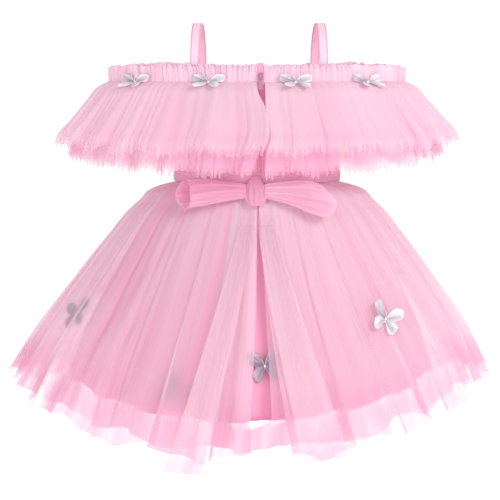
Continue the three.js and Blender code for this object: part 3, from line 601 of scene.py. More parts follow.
# Degrees at the seam and at the hem. Each fold presses the cloth in and adds painted shade;
# a negative strength is a pale panel that stands out, lightened with painted light.
SKIRT_FOLDS = table(
    "top hem width strength end",
    (-31, -57, 2.4, 1.0, 1.0), (-45, -62, 10, 1.3, 0.35), (-17, -39, 5, 0.55, 0.9),
    (-11, -19, 1.1, 0.8, 1.0), (-24, -47, 1.2, 0.6, 0.7), (11, 27, 1.1, 0.7, 1.0),
    (16, 33, 1.0, 0.45, 0.8), (39, 45, 4, 0.5, 1.0), (14, 38, 18, -0.6, 1.0),
    (50, 56, 9, -0.4, 1.0), (-4, -6, 4.5, -0.4, 1.0), (60, 66, 3, 0.4, 1.0),
    (152, 128, 2.4, 0.9, 1.0), (168, 150, 4.5, 0.5, 0.9), (178, 172, 1.2, 0.7, 1.0),
    (-168, -157, 1.2, 0.7, 1.0), (-148, -135, 5, 0.5, 0.9), (-118, -112, 3, 0.5, 1.0),
    (100, 96, 3, 0.4, 1.0),
)
FOLD_DEPTH = 3.5
FOLD_SHADE = 0.9
SKIRT_SWAY = 9
SKIRT_TILT = 3
WAIST_DEPTH = 0.35
print("folds placed by hand on the skirt:", len(SKIRT_FOLDS))


# %% The skirt without its gathers
def skirt_sway(down):
    """The skirt swings to one side, by 9 mm at the hem."""
    return -SKIRT_SWAY * np.abs(down) ** 1.3


def skirt_mean(layer, angle, down):
    """An oval that widens as the profile says, and falls by its hem's fall, which is mixed from
    the sides' and the back's by the cosine's size to the power 1.8, and is 3 mm less or more at
    the two sides."""
    side = look_up(SKIRT_PROFILE, "fall", "side", down)
    back = look_up(SKIRT_PROFILE, "fall", "back", down)
    half_width = mix(WAIST["half_width"] + layer["waist_out"], layer["half_width"], side)
    half_depth = mix(WAIST["half_depth"] + layer["waist_out"], layer["half_depth"], back)
    fall = mix(layer["side_fall"], layer["back_fall"], np.abs(np.cos(angle)) ** 1.8)
    x, y = plan(angle, half_width, half_depth)
    z = layer["waist_z"] - (fall - SKIRT_TILT * np.sin(angle)) * down
    return stacked(x + skirt_sway(down), y, z)


def skirt_normal(layer, angle, down):
    """Outwards from the smooth surface: the cross product of its fall and its run."""
    small = 0.01
    run = skirt_mean(layer, angle + small, down) - skirt_mean(layer, angle - small, down)
    fall = skirt_mean(layer, angle, down + small) - skirt_mean(layer, angle, down - small)
    return unit(np.cross(fall, run))


def skirt_depth(layer, down):
    """How deep the main gathers are: 0.35 mm at the waist and the layer's depth at the hem."""
    return mix(WAIST_DEPTH, layer["depth"], down**1.5)


# %% Skirt surfaces
CLOSING = {"lap": 1.3, "start": 0.865, "end": 0.915, "fade": 25, "gathered": 1.1}
SINKING = {"depth": 22, "start": 0.885, "end": 0.965}


def skirt_surface(name, columns, rows, lean, small, closed=False):
    """The layer with its gathers, the painted shade of their valleys and of the folds in the table,
    and how much closer than its length says it is gathered. lean tips the main folds over, and
    small is the depth of the small ones. The row spacing is closer near the waist, where the bell
    bends most. Below the underskirt's hem the inner net's two edges lap and hang further in, by
    shares that fade as exp(-25 * across)."""
    layer = SKIRTS[name]
    seed = layer["seed"]
    across, down = grid(columns, rows, closed)
    down = down**1.25
    right = left = 0
    close = 1.0
    if not closed:
        slit = NET_SLITS[name]
        shut = SLIT_AT_WAIST / WAIST["half_width"]
        right = mix(shut, slit["right"] / layer["half_width"], down ** slit["right_curve"])
        left = mix(shut, slit["left"] / layer["half_width"], down ** slit["left_curve"])
    angle = mix(right, TURN - left, uneven_spacing(across, seed))
    sinks = 0 * down
    if name == "inner":
        shuts = CLOSING["lap"] * smooth_step(down, CLOSING["start"], CLOSING["end"])
        first = np.exp(-CLOSING["fade"] * across)
        last = np.exp(-CLOSING["fade"] * (1 - across))
        angle = angle - right * shuts * first + left * shuts * last
        close = 1 + CLOSING["gathered"] * shuts * (first + last)
        sinks = SINKING["depth"] * smooth_step(down, SINKING["start"], SINKING["end"])
        sinks = sinks * np.clip(first + last, 0, 1)
    mean = skirt_mean(layer, angle, down)
    outward = mean.copy()
    outward[..., 0] -= skirt_sway(down)
    outward[..., 2] = 0
    outward = unit(outward)
    tip = lean * np.sin(TURN * 9 * across + seed)
    depth = skirt_depth(layer, down) * uneven_depth(across, seed)
    small_depth = small * np.sin(np.pi * np.clip(0.12 + 0.8 * down, 0, 1)) * (0.4 + 0.6 * down)
    small_phase = ripple(across, layer["waves"] * 2.3, seed)
    phase = gather(across, layer["waves"])
    points, valley = gathered_cloth(mean, outward, depth, phase, tip, small_depth, small_phase)
    # The folds in the table press the cloth in and add painted shade to its valleys.
    placed = fold_lines(SKIRT_FOLDS, angle, down)
    points = points - outward * sinks[..., None]
    points = points - outward * (FOLD_DEPTH * placed * down)[..., None]
    hem = layer["uneven"] * down**3 * np.sin(TURN * 17 * across + seed)
    points[..., 2] += hem + 0.8 * down**6 * np.sin(small_phase)
    return points, valley + FOLD_SHADE * placed, close


def skirt_layer(name, node, cut, finish, slot, rests_on, surface, **more):
    """One layer of the skirt, sewn on."""
    points, valley, close = skirt_surface(*surface)
    more = {"valley": valley, "close": close, **more}
    sew(name, node, points, cut, finish, slot, "gathered", rests_on, **more)


skirt_layer(
    "skirt_lining", "skirt_under", (1.4, 0.245), satin, "satin", "bodice_shell_front",
    ("under", 640, 34, 0.0, 0.5, True), area=0.27, wall=0.9, closed=True,
)
skirt_layer(
    "skirt_net_lower", "skirt_net_inner", (1.5, 0.275), net_skirt_inner, "net", "skirt_lining",
    ("inner", 1344, 56, 0.9, 1.2),
)
skirt_layer(
    "skirt_net_upper", "skirt_net_outer", (1.78, 0.282), net_skirt, "net", "skirt_net_lower",
    ("outer", 1520, 60, 1.1, 1.3),
)

# %% [markdown]
# ## Bodice
#
# The bodice is a front and two backs in satin, close to the body, with the zip between the
# backs. Where it goes under the casing it follows the casing, and it dips under the arms.


# %% Bodice
def bodice_point(angle, down):
    """A plan section at its height, drawn in towards the casing near the top at the back and
    the front."""
    top = ease_up(BODICE_TOP, "angle", "z", np.degrees(np.arccos(np.cos(angle))))
    z = mix(top, WAIST["z"], down)
    width = look_up(BODICE, "below", "half_width", -z)
    deep = look_up(BODICE, "below", "half_depth", -z)
    x, y = plan(angle, width, deep, look_up(BODICE, "below", "square", -z))
    near = (1 - down) ** 2 * smooth_step(np.abs(np.cos(angle)), 0.45, 0.8)
    inside = (CASING["half_depth"] - 3.2) * np.sqrt(1 - (x / CASING["half_width"]) ** 2)
    return stacked(x, mix(y, -np.sign(np.cos(angle)) * inside, near), z)


def bodice_angle(x, down):
    """The angle at which the section is x from the middle."""
    z = mix(BODICE_TOP[0]["z"], WAIST["z"], down)
    width = look_up(BODICE, "below", "half_width", -z)
    square = look_up(BODICE, "below", "square", -z)
    return np.sign(x) * np.arcsin((np.abs(x) / width) ** (square / 2))


def bodice_panel(name, node, start, end, cut, seed):
    """A panel from the angle start to the angle end, with slack folds that cross it slantwise."""
    points = bodice_point(mix(start, end, panel_across), panel_down)
    slant = TURN * (2.2 * panel_down + 1.3 * panel_across) + seed
    slack = SLACK * np.sin(slant) * np.sin(np.pi * panel_down)
    points = points + unit(points * np.array([1, 1, 0])) * slack[..., None]
    sew(name, node, points, cut, satin_bodice, "satin", "stretched", "skirt_lining", wall=1.0)


QUARTER = TURN / 4
SIDE_GAP = 0.002
SLACK = 0.35
panel_across, panel_down = grid(80, 30)
zip_right = bodice_angle(ZIP_X + ZIP_HALF, panel_down)
zip_left = TURN + bodice_angle(ZIP_X - ZIP_HALF, panel_down)
side_right, side_left = QUARTER - SIDE_GAP, 3 * QUARTER + SIDE_GAP
front = (QUARTER + SIDE_GAP, 3 * QUARTER - SIDE_GAP)
bodice_panel("bodice_shell_right", "bodice_back_right", zip_right, side_right, (0.135, 0.1), 1)
bodice_panel("bodice_shell_front", "bodice_front", *front, (0.28, 0.105), 2)
bodice_panel("bodice_shell_left", "bodice_back_left", side_left, zip_left, (0.135, 0.1), 3)

# %% [markdown]
# ## Neck casing
#
# A strip of net is folded over an elastic and sewn down, which ruches it: the fold at the top is
# uneven, and short gathers cross the band. The strip's section is an arch, from its foot inside
# over the fold to its foot outside.


# %% Neck casing
def casing_top(angle):
    """The height of the band's top edge."""
    return ease_up(CASING_TOP, "angle", "z", np.degrees(np.arccos(np.cos(angle))))


PLEATS = {"fine": 110, "broad": 38}  # in a whole turn
SIDE_DIP = 3.5


def casing_strip(name, node, start, end, cut, seed):
    """An arch of net: its height is the sine of half a turn to the power 0.3, and its reach to
    either side is the cosine's to the power 0.6, with slanting gathers on the outside that fade
    towards the fold. The band is 3.5 mm lower at the two sides."""
    length = abs(end - start) / TURN
    across, over = grid(int(2400 * length), 18)
    angle = mix(start, end, across)
    turn = np.pi * over
    rise = np.sin(turn) ** 0.3
    reach = -np.sign(np.cos(turn)) * np.abs(np.cos(turn)) ** 0.6
    slant = 1.1 * np.sin(TURN * 7 * length * across + seed) * (over - 0.5)
    waves = ripple(across + 0.004 * slant / length, PLEATS["fine"] * length, seed)
    broad = ripple(across + 0.006 * slant / length, PLEATS["broad"] * length, seed + 2)
    puff = 0.35 * np.cos(waves) + 1.35 * np.cos(broad)
    foot = casing_top(angle) - CASING["height"]
    height = CASING["height"] + 1.0 * np.cos(broad + 1) + 0.25 * np.cos(waves + 2)
    height = height - SIDE_DIP * np.exp(-((np.cos(angle) / 0.22) ** 2))
    bulge = 0.7 * np.sin(np.pi * np.clip(rise, 0, 1)) * (reach > 0)
    wall = CASING["wall"] / 2 * (0.8 + 0.3 * np.sin(turn)) + bulge
    out = reach * wall + puff * np.sin(turn) ** 0.5 * np.where(reach > 0, 1, 0.3)
    x, y = plan(angle, CASING["half_width"] + out, CASING["half_depth"] + out)
    points = stacked(x, y, foot + height * rise)
    # Painted shade in the hollows between the puffs.
    more = {"valley": 0.5 - 0.5 * puff / 1.7}
    sew(name, node, points, cut, net_casing, "net_pale", "gathered", "bodice_shell_front", **more)


zip_side = ZIP_HALF / CASING["half_width"]
zip_middle = ZIP_X / CASING["half_width"]
SHOULDER_GAP = 0.001
right_end, front_start = CASING_SHOULDER - SHOULDER_GAP, CASING_SHOULDER + SHOULDER_GAP
front_end, left_start = TURN - CASING_SHOULDER - SHOULDER_GAP, TURN - CASING_SHOULDER + SHOULDER_GAP
back_cut = (0.13, 0.044)
right_start, left_end = zip_middle + zip_side, TURN + zip_middle - zip_side
casing_strip("casing_right", "neck_casing_back_right", right_start, right_end, back_cut, 1)
casing_strip("casing_front", "neck_casing_front", front_start, front_end, (0.74, 0.044), 2)
casing_strip("casing_left", "neck_casing_back_left", left_start, left_end, back_cut, 3)

# %% [markdown]
# ## Ruffle
#
# Two strips of soft net are gathered into the seam under the casing. They spread outwards over
# the arms, and the cut edges stand in small points, because each pleat's edge falls lower than
# the cloth beside it. Both strips are open at the centre back, with the left one lapped over.

# %% Ruffle
RUFFLE_PROFILE = table(
    "fall spread", (0, 0), (0.07, 0.17), (0.28, 0.4), (0.6, 0.71), (0.88, 0.96), (1, 1)
)
RUFFLES = {
    "upper": {
        "out": 1.1, "half_width": 226, "half_depth": 116, "side_hem": -132, "back_hem": -147,
        "tilt": 1, "waves": 30, "depth": 4.4, "seed": 1, "points": 8,
    },
    "lower": {
        "out": -1.1, "half_width": 211, "half_depth": 104, "side_hem": -145, "back_hem": -168,
        "tilt": 1.5, "waves": 28, "depth": 3.8, "seed": 4, "points": 8,
    },
}
RUFFLE_SLITS = {
    "upper": table(
        "down middle half_gap",
        (0, 3.5, 4.6), (0.14, 4, 4), (0.32, 7, 0.9), (0.72, 11, 0.6), (1, 4.5, 2.2),
    ),
    "lower": table(
        "down middle half_gap",
        (0, 3.5, 4.6), (0.14, 4, 4), (0.32, 6.5, 1.2), (0.6, 7, 1.8), (1, -0.5, 7.5),
    ),
}
RUFFLE_FOLDS = table(
    "top hem width strength end",
    (-14, -13.5, 0.9, 0.7, 1.0), (-28, -24, 2.2, 0.5, 1.0), (-38, -31, 1.2, 0.5, 1.0),
    (-50, -48, 7, 0.4, 1.0), (25, 20.5, 0.8, 0.7, 1.0), (59, 53, 3, 0.4, 1.0),
    (41, 38, 1, 0.3, 1.0), (165, 163, 1, 0.6, 1.0), (138, 141, 2.5, 0.5, 1.0),
    (-155, -152, 1.2, 0.6, 1.0), (-130, -133, 3, 0.4, 1.0),
)
RUFFLE_FOLD_DEPTH = 2
EDGE_PLEATS = 260


def pleat_points(across, count, seed):
    """Points along a cut edge: the distance to the nearest pleat, 1 at it and 0 between two,
    times that pleat's own size, which a fixed list of numbers between 0.3 and 1 gives."""
    sizes = np.random.default_rng(seed).uniform(0.3, 1, count + 2)
    place = across * count + 0.35 * np.sin(TURN * 9 * across + seed)
    number = np.clip(np.rint(place).astype(int), 0, count + 1)
    return np.clip(1 - 2 * np.abs(place - np.rint(place)), 0, 1) * sizes[number]


def ruffle_surface(name, columns, rows):
    """An oval that spreads as its profile says, with gathers, and points along the hem. The two
    edges at the back follow the slit's rows, by a share that fades as exp(-35 * across)."""
    layer, slit = RUFFLES[name], RUFFLE_SLITS[name]
    seed = layer["seed"]
    across, down = grid(columns, rows)
    spread = look_up(RUFFLE_PROFILE, "fall", "spread", down)
    out = layer["out"] * smooth_step(down, 0, 0.04)
    half_width = mix(CASING["half_width"] + out, layer["half_width"], spread)
    half_depth = mix(CASING["half_depth"] + out, layer["half_depth"], spread)
    middle = look_up(slit, "down", "middle", down)
    half_gap = look_up(slit, "down", "half_gap", down)
    right, left = (middle + half_gap) / half_width, (middle - half_gap) / half_width
    right_seam = (slit[0]["middle"] + slit[0]["half_gap"]) / half_width[0, 0]
    left_seam = (slit[0]["middle"] - slit[0]["half_gap"]) / half_width[0, 0]
    angle = mix(right_seam, TURN + left_seam, uneven_spacing(across, seed))
    angle = angle + (right - right_seam) * np.exp(-35 * across)
    angle = angle + (left - left_seam) * np.exp(-35 * (1 - across))
    x, y = plan(angle, half_width, half_depth)
    hem = mix(layer["side_hem"], layer["back_hem"], np.abs(np.cos(angle)) ** 1.2)
    z = mix(casing_top(angle) - CASING["height"] + 1.5, hem, down)
    mean = stacked(x, y, z + layer["tilt"] * down * np.sin(angle))
    outward = unit(mean * np.array([1, 1, 0]))
    depth = mix(0.25, layer["depth"], down**1.3) * uneven_depth(across, seed)
    lean = 0.15 * np.sin(TURN * 11 * across + seed)
    small_phase = ripple(across, layer["waves"] * 3.6, seed)
    small = 0.3 + 0.6 * down
    phase = gather(across, layer["waves"])
    points, valley = gathered_cloth(mean, outward, depth, phase, lean, small, small_phase)
    # As on the skirt, the folds in the table press the net in and add painted shade.
    placed = fold_lines(RUFFLE_FOLDS, angle, down)
    points = points - outward * (RUFFLE_FOLD_DEPTH * placed * down)[..., None]
    tips = 3.5 * down * np.sin(TURN * 23 * across + seed)
    ragged = layer["points"] * (pleat_points(across, EDGE_PLEATS, seed) - 0.35)
    points[..., 2] += tips * 0.7 - ragged * smooth_step(down, 0.6, 1)
    return points, valley + FOLD_SHADE * placed


def ruffle(name, layer, rows, cut, finish, rests_on):
    """One layer of the ruffle, sewn on."""
    points, valley = ruffle_surface(layer, 1500, rows)
    node = f"ruffle_{layer}"
    sew(name, node, points, cut, finish, "net_pale", "gathered", rests_on, valley=valley)


ruffle("ruffle_under", "lower", 30, (1.34, 0.108), net_ruffle_under_painted_shade, "bodice_shell_front")
ruffle("ruffle_over", "upper", 28, (1.42, 0.096), net_ruffle, "ruffle_under")

# %% [markdown]
# ## Sash and bow
#
# A long strip of net goes round the waist and is tied at the back. It is pleated lengthwise as
# it is pulled into the knot, and it fans out again in the loops and the tails.

# %% Sash
SASH_TOP, SASH_FOOT = -165.5, -176.6


def sash_surface():
    """The bodice's section, 2 mm out, with four pleats that run round it."""
    across, down = grid(360, 24, closed=True)
    z = mix(SASH_TOP, SASH_FOOT, down)
    pleat = 0.5 * np.abs(np.sin(TURN * 2 * (down + 0.03 * np.sin(TURN * 5 * across))))
    out = 1.8 + pleat * np.sin(np.pi * down) ** 0.5
    width = look_up(BODICE, "below", "half_width", -z) + out
    deep = look_up(BODICE, "below", "half_depth", -z) + out
    x, y = plan(TURN * across, width, deep, look_up(BODICE, "below", "square", -z))
    return stacked(x, y, z)


sew(
    "sash_band", "sash_belt", sash_surface(), (0.56, 0.0125), net_bow_painted_light, "net", "folded",
    "bodice_shell_front", closed=True,
)

# %% Knot and loops
KNOT = {
    "x": -2, "y": -89.5, "z": -185, "half_width": 9.5, "half_depth": 6, "half_height": 16,
    "lean": 0.5,
}
BOW_LOOPS = {
    "left": {
        "side": -1, "length": 78, "drop": 4, "lean": -3, "rim": 0.22, "leaf": 0.12,
        "sections": table(
            "along high deep", (0, 7, 3.4), (0.3, 10, 6), (0.65, 13.5, 9), (1, 15, 9.5)
        ),
    },
    "right": {
        "side": 1, "length": 78, "drop": 14, "lean": -2, "rim": 0.0, "leaf": 0.12,
        "sections": table(
            "along high deep",
            (0, 7, 3.4), (0.3, 11, 6), (0.7, 16.5, 7), (0.92, 15.5, 5), (1, 12.5, 4),
        ),
    },
}
KNOT_PLEAT = 0.14


def knot_surface():
    """A barrel, sheared outwards towards its top and wider at its foot, with deep pleats that
    fan out down it."""
    across, down = grid(120, 40, closed=True)
    polar = np.pi * mix(0.02, 0.98, down)
    pleat = np.cos(TURN * 9 * across + 1.5 * np.cos(polar))
    pleat = 1 + KNOT_PLEAT * pleat * np.sin(polar) ** 0.6
    girth = pleat * np.sin(polar) ** 0.6 * (1 - 0.3 * np.cos(polar))
    x = KNOT["half_width"] * girth * np.sin(TURN * across)
    y = -KNOT["half_depth"] * girth * np.cos(TURN * across)
    z = KNOT["half_height"] * np.cos(polar)
    points = stacked(KNOT["x"] + x, KNOT["y"] + y + KNOT["lean"] * z, KNOT["z"] + z)
    # The second value is painted shade in the depths of the pleats.
    return points, 0.5 - 0.5 * (pleat - 1) / KNOT_PLEAT


def loop_surface(loop, seed):
    """A flattened tube that opens away from the knot, with pleats that run along it. It has painted
    shade inside its open end and painted light along the rim."""
    across, down = grid(216, 48, closed=True)
    turn = loop["side"] * TURN * across
    broad = np.cos(TURN * 9 * across + 1.5 * np.sin(3 * down + seed))
    fine = np.cos(TURN * 19 * across + 2 * np.sin(2 * down + seed))
    pleat = 1 + mix(0.07, 0.03, down) * (broad + 0.7 * fine)
    high = look_up(loop["sections"], "along", "high", down) * pleat
    deep = look_up(loop["sections"], "along", "deep", down) * pleat
    towards = np.cos(turn)
    reach = down * (1 - loop["rim"] * np.maximum(0, towards) * down)
    reach = reach * (1 - loop["leaf"] * np.sin(turn) ** 2 * down**2)
    x = KNOT["x"] + loop["side"] * (KNOT["half_width"] + 0.3 + loop["length"] * reach)
    z = KNOT["z"] + high * np.sin(turn) - loop["drop"] * down**2
    y = KNOT["y"] - deep * towards - loop["lean"] * down + KNOT["lean"] * (z - KNOT["z"])
    # Painted shade inside the open end, and painted light along the rim.
    inside = smooth_step(-towards, -0.1, 0.4) * smooth_step(down, 0.6, 0.85) * (loop["rim"] > 0)
    valley = 0.5 - 0.5 * (pleat - 1) / 0.1 + 0.7 * inside - 0.7 * smooth_step(down, 0.94, 0.98)
    return stacked(x, y, z), valley


def bow_piece(name, node, surface, cut, finish, rests_on, **more):
    """The knot or a loop, sewn on."""
    points, valley = surface
    more = {"closed": True, "valley": valley, **more}
    sew(name, node, points, cut, finish, "net_pale", "folded", rests_on, **more)


knot = knot_surface()
left_loop = loop_surface(BOW_LOOPS["left"], 1)
right_loop = loop_surface(BOW_LOOPS["right"], 2)
bow_piece("bow_centre", "bow_knot", knot, (0.04, 0.024), net_knot, "sash_band", caps=(True, True))
bow_piece("bow_loop_a", "bow_loop_left", left_loop, (0.084, 0.08), net_bow_painted_shade, "bow_centre")
bow_piece("bow_loop_b", "bow_loop_right", right_loop, (0.09, 0.08), net_bow_painted_light, "bow_centre")

# %% Tails
TAILS = {
    "left": {"start_x": -8.5, "end_x": -76, "start_width": 12, "end_width": 36, "past": 0.07},
    "right": {"start_x": 6.5, "end_x": 70, "start_width": 12, "end_width": 46, "past": 0.03},
}


def tail_surface(tail, seed, start=0.0, lift=0.0):
    """A strip that lies on the smooth form of the upper net, 2.6 mm clear of it at the knot and
    9.6 mm at the hem, with folds along it. start is where along it the strip begins."""
    across, down = grid(90, 120 if start == 0 else 8)
    down = mix(start, 1, down)
    layer = SKIRTS["outer"]
    reach = mix(0.1, 1 + tail["past"], down)
    width = mix(tail["start_width"], tail["end_width"], down**0.7)
    x = mix(tail["start_x"], tail["end_x"], down**1.15) + (across - 0.5) * width
    side = look_up(SKIRT_PROFILE, "fall", "side", reach)
    half_width = mix(WAIST["half_width"], layer["half_width"], side)
    on_skirt = np.minimum(reach, 1)
    angle = np.arcsin((x - skirt_sway(on_skirt)) / half_width)
    points = skirt_mean(layer, angle, on_skirt)
    points[..., 2] -= np.maximum(0, reach - 1) * layer["back_fall"]
    fold = 1.4 * down * np.cos(TURN * 1.5 * across)
    fine = 0.45 * np.cos(ripple(across, 9, seed)) * (1 - 0.5 * down)
    clear = 2.6 + 7 * down**1.5 + fold + fine + lift
    return points + skirt_normal(layer, angle, np.minimum(reach, 0.98)) * clear[..., None]


def tail_hem(name, tail, seed):
    """The last 2.5 % of a tail again, 0.7 mm above it: the hem that is turned up."""
    hem = cloth(name, tail_surface(tail, seed, 0.975, 0.7), (0.05, 0.007))
    hem.data.materials.append(net_tail)
    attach(hem, "dress")
    return hem


def tail_piece(name, side, seed, length, hem):
    """A tail, sewn on. Its turned-up hem is made on its own by tail_hem."""
    sew(
        name, f"bow_tail_{side}", tail_surface(TAILS[side], seed), (0.05, length), net_tail,
        "net_pale", "hung", "bow_centre", area=0.0096, along=[hem],
    )


left_hem = tail_hem("bow_hem_a", TAILS["left"], 1)
right_hem = tail_hem("bow_hem_b", TAILS["right"], 2)
tail_piece("bow_tail_a", "left", 1, 0.285, left_hem)
tail_piece("bow_tail_b", "right", 2, 0.28, right_hem)

# %% [markdown]
# ## Straps
#
# The straps are bought by the metre: flat elastic, 10 mm wide, with a row of tiny loops along
# each edge. Each one is sewn inside the casing at the back and the front and stands in an arch.


# %% Straps
STRAP = {"width": 10, "shift": 2, "back_x": 71, "front_x": 66, "sewn": 9, "scallop": 0.8}
CASING_GATHER, SEAM_GAP, HALF_ELASTIC = 0.7, 0.3, 0.6


def strap_surface(side):
    """An arch whose rise is the sine of half a turn to the power 2 / 2.3, as wide as the elastic,
    with scallops of 0.8 mm along both edges."""
    across, along = grid(12, 420)
    inside = CASING["wall"] / 2 + CASING_GATHER + SEAM_GAP + HALF_ELASTIC
    turn = np.pi * along
    power = 2 / 2.3
    forward = -np.sign(np.cos(turn)) * np.abs(np.cos(turn)) ** power
    rise = np.sin(turn) ** power
    middle = mix(STRAP["back_x"], STRAP["front_x"], along)
    foot = mix(casing_top(0.0), casing_top(np.radians(145)), along) - STRAP["sewn"]
    edge = np.clip(np.abs(across - 0.5) * 2 - 0.8, 0, 1) / 0.2
    scallop = STRAP["scallop"] * edge * np.abs(np.sin(TURN * 42 * along))
    x = middle + (across - 0.5) * (STRAP["width"] - 1.2) + np.sign(across - 0.5) * scallop
    band = middle + STRAP["width"] / 2 + STRAP["shift"]
    y = (CASING["half_depth"] - inside) * np.sqrt(1 - (band / (CASING["half_width"] - inside)) ** 2)
    return stacked(STRAP["shift"] + side * x, forward * y, mix(foot, 0.6, rise))


for name, side in (("left", -1), ("right", 1)):
    sew(
        f"elastic_{name}", f"strap_{name}", strap_surface(side), (ELASTIC["width"], 0.235), elastic,
        "elastic", "stretched", "casing_front", wall=1.0,
    )

# %% [markdown]
# ## Zip
#
# A nylon zip closes the back. Two tapes carry a row of teeth each, and the teeth mesh. The
# slider and its pull tab are the CAD solids, with a metal finish.

# %% Zip
ZIP_LINE = table("down z y", (0, -46.5, -77), (0.15, -66, -77), (0.3, -86, -75.4), (1, -176.8, -76))
TAPE = {"width": 3.2, "middle": 1.75}
TEETH = 76


def zip_line(down):
    """y and z of the closed zip."""
    share = [row["down"] for row in ZIP_LINE]
    return [np.interp(down, share, [row[key] for row in ZIP_LINE]) for key in ("y", "z")]


for name, side in (("left", -1), ("right", 1)):
    across, down = grid(4, 60)
    y, z = zip_line(down)
    x = ZIP_X + side * TAPE["middle"] + (across - 0.5) * TAPE["width"]
    sew(
        f"tape_{name}", f"zip_tape_{name}", stacked(x, y, z), (0.01, 0.131), zip_tape, "zip_tape",
        "stretched", "bodice_shell_right", area=0.00042, wall=1.0,
    )

# %% Teeth
CUBE = np.array([[x, y, z] for x in (-1, 1) for y in (-1, 1) for z in (-1, 1)], float)
CUBE_FACES = np.array(
    [[0, 1, 3, 2], [4, 6, 7, 5], [0, 4, 5, 1], [2, 3, 7, 6], [0, 2, 6, 4], [1, 5, 7, 3]]
)
TOOTH = CUBE * np.array([1.1, 0.4, 0.55])


def copies(name, points, faces, finish):
    """One mesh of many copies of a small shape. points holds each copy's points, in millimetres,
    and faces the faces of one copy."""
    count, size = points.shape[:2]
    numbers = faces[None] + size * np.arange(count)[:, None, None]
    mesh = bpy.data.meshes.new(name)
    mesh.from_pydata((points.reshape(-1, 3) * MM).tolist(), [], numbers.reshape(-1, 4).tolist())
    mesh.materials.append(finish)
    piece = in_scene(name, mesh)
    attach(piece, "dress")
    print(f"{name}: {count} copies")


teeth_y, teeth_z = zip_line(np.linspace(0.17, 0.985, TEETH))
teeth_x = ZIP_X + 0.35 * np.where(np.arange(TEETH) % 2, 1, -1)
teeth_places = np.stack([teeth_x, teeth_y - 0.85, teeth_z], axis=-1)
copies("zip_teeth", TOOTH[None] + teeth_places[:, None], CUBE_FACES, teeth_finish)
for node in ("zip_slider", "zip_pull_tab"):
    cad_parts[node].data.materials.clear()
    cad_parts[node].data.materials.append(zip_metal)

# %% [markdown]
# ## Butterflies
#
# Each butterfly is cut from white satin, gathered at its middle and held by a pearl, with two
# wire feelers. Half an outline is enough: the other half mirrors it.

# %% Butterflies
WINGS = {
    "neck": table(
        "x y", (0, 1.5), (5, 7), (11, 9), (16, 7), (15, 2),
        (9.5, -1.5), (12, -6), (9, -9), (4, -7), (0, -2),
    ),
    "skirt": table(
        "x y", (0, 2), (3.5, 10), (9, 15), (15, 13.5), (15.5, 6),
        (9, 0), (12.5, -6), (10, -13.5), (5, -13), (0, -3),
    ),
}
WING_SCALE = {"neck": 1, "skirt": 1.12}
WING_CUTS = {"neck": (0.034, 0.0195), "skirt": (0.0347, 0.032)}
WING_AREAS = {"neck": 0.00042, "skirt": 0.00069}
NECK_BUTTERFLIES = {
    "back_1": -51.5, "back_2": -18, "back_3": 14, "back_4": 45,
    "front_1": 126, "front_2": 162, "front_3": 198, "front_4": 234,
}
# The finish column gives wings under the nets and in the slit darker copies, as painted shade.
SKIRT_BUTTERFLIES = table(
    "name on angle down turn lift finish",
    ("back_1", "inner", -65, 0.64, 20, 0.05, wing_painted_shade),
    ("back_2", "under", -23, 0.9, -35, 0.1, wing_painted_shade),
    ("back_3", "under", 4.2, 0.77, 8, 0.1, wing_painted_half_shade),
    ("back_4", "outer", 40.5, 0.575, -28, 0.35, wing_satin),
    ("front_1", "outer", 128, 0.5, 25, 0.35, wing_satin),
    ("front_2", "under", 158, 0.8, -20, 0.1, wing_painted_shade),
    ("front_3", "outer", 193, 0.66, 15, 0.35, wing_satin),
    ("front_4", "outer", 236, 0.55, -30, 0.35, wing_satin),
)
BEAD_RAISED = 1.6
print("butterflies:", len(NECK_BUTTERFLIES) + len(SKIRT_BUTTERFLIES))


# %% Wing shapes
def wing_outline(kind, steps):
    """The whole outline as a smooth closed curve: between two corners, the cubic whose slopes
    are half the way from the corner before to the corner after."""
    half = np.array([[row["x"], row["y"]] for row in WINGS[kind]], float)
    corners = np.vstack([half, half[-2:0:-1] * np.array([-1, 1])])
    place = np.linspace(0, len(corners), steps, endpoint=False)
    i = place.astype(int)
    t = (place - i)[:, None]
    nearby = [np.take(corners, i + k, axis=0, mode="wrap") for k in (-1, 0, 1, 2)]
    before, here, after, later = nearby
    slope, next_slope = (after - before) / 2, (later - here) / 2
    cubic = (1 + 2 * t) * (1 - t) ** 2 * here + t * (1 - t) ** 2 * slope
    return cubic + t * t * (3 - 2 * t) * after - t * t * (1 - t) * next_slope


def wing_grid(kind):
    """x, y and height of the wings, from the middle out: the outline times the share of the way,
    with creases that run out from the middle and a wave along the edge; and their painted shade,
    deeper towards the middle, where the five-fold wave dips, and on the upper-left petal."""
    outline = wing_outline(kind, 108) * WING_SCALE[kind]
    share = np.linspace(0.05, 1, 14)[:, None]
    x, y = share * outline[:, 0], share * outline[:, 1]
    turn = np.arctan2(y, x)
    crease = 0.9 * share * np.cos(17 * turn) * (1 - share) + 0.8 * share**2 * np.cos(5 * turn + 1)
    # Painted shade: towards the middle, in dips of the five-fold wave, and on the upper-left petal.
    shade = (1 - share) * 0.8 + 0.35 * (np.cos(5 * turn + 1) < -0.2)
    shade = shade + 0.5 * smooth_step(turn, 1.6, 1.9)
    return x, y, 0.6 + crease, shade


def on_neck(angle_degrees):
    """Puts wing points on the casing and, below its seam, on the shoulder of the ruffle."""
    middle = np.radians(angle_degrees)
    seam = casing_top(middle) - CASING["height"]
    stretch = np.hypot(1, 1.2 * np.cos(middle))

    def place(x, y, raised):
        here = middle + x / 1.25 / CASING["half_depth"] / stretch
        out = CASING["wall"] / 2 + 2.2 + np.where(y < 0, -1.5 * y, 0) + 0.1 * np.abs(x) + raised
        px, py = plan(here, CASING["half_width"] + out, CASING["half_depth"] + out)
        return stacked(px, py, seam + np.where(y < 0, 0.55 * y + raised, y))

    return place


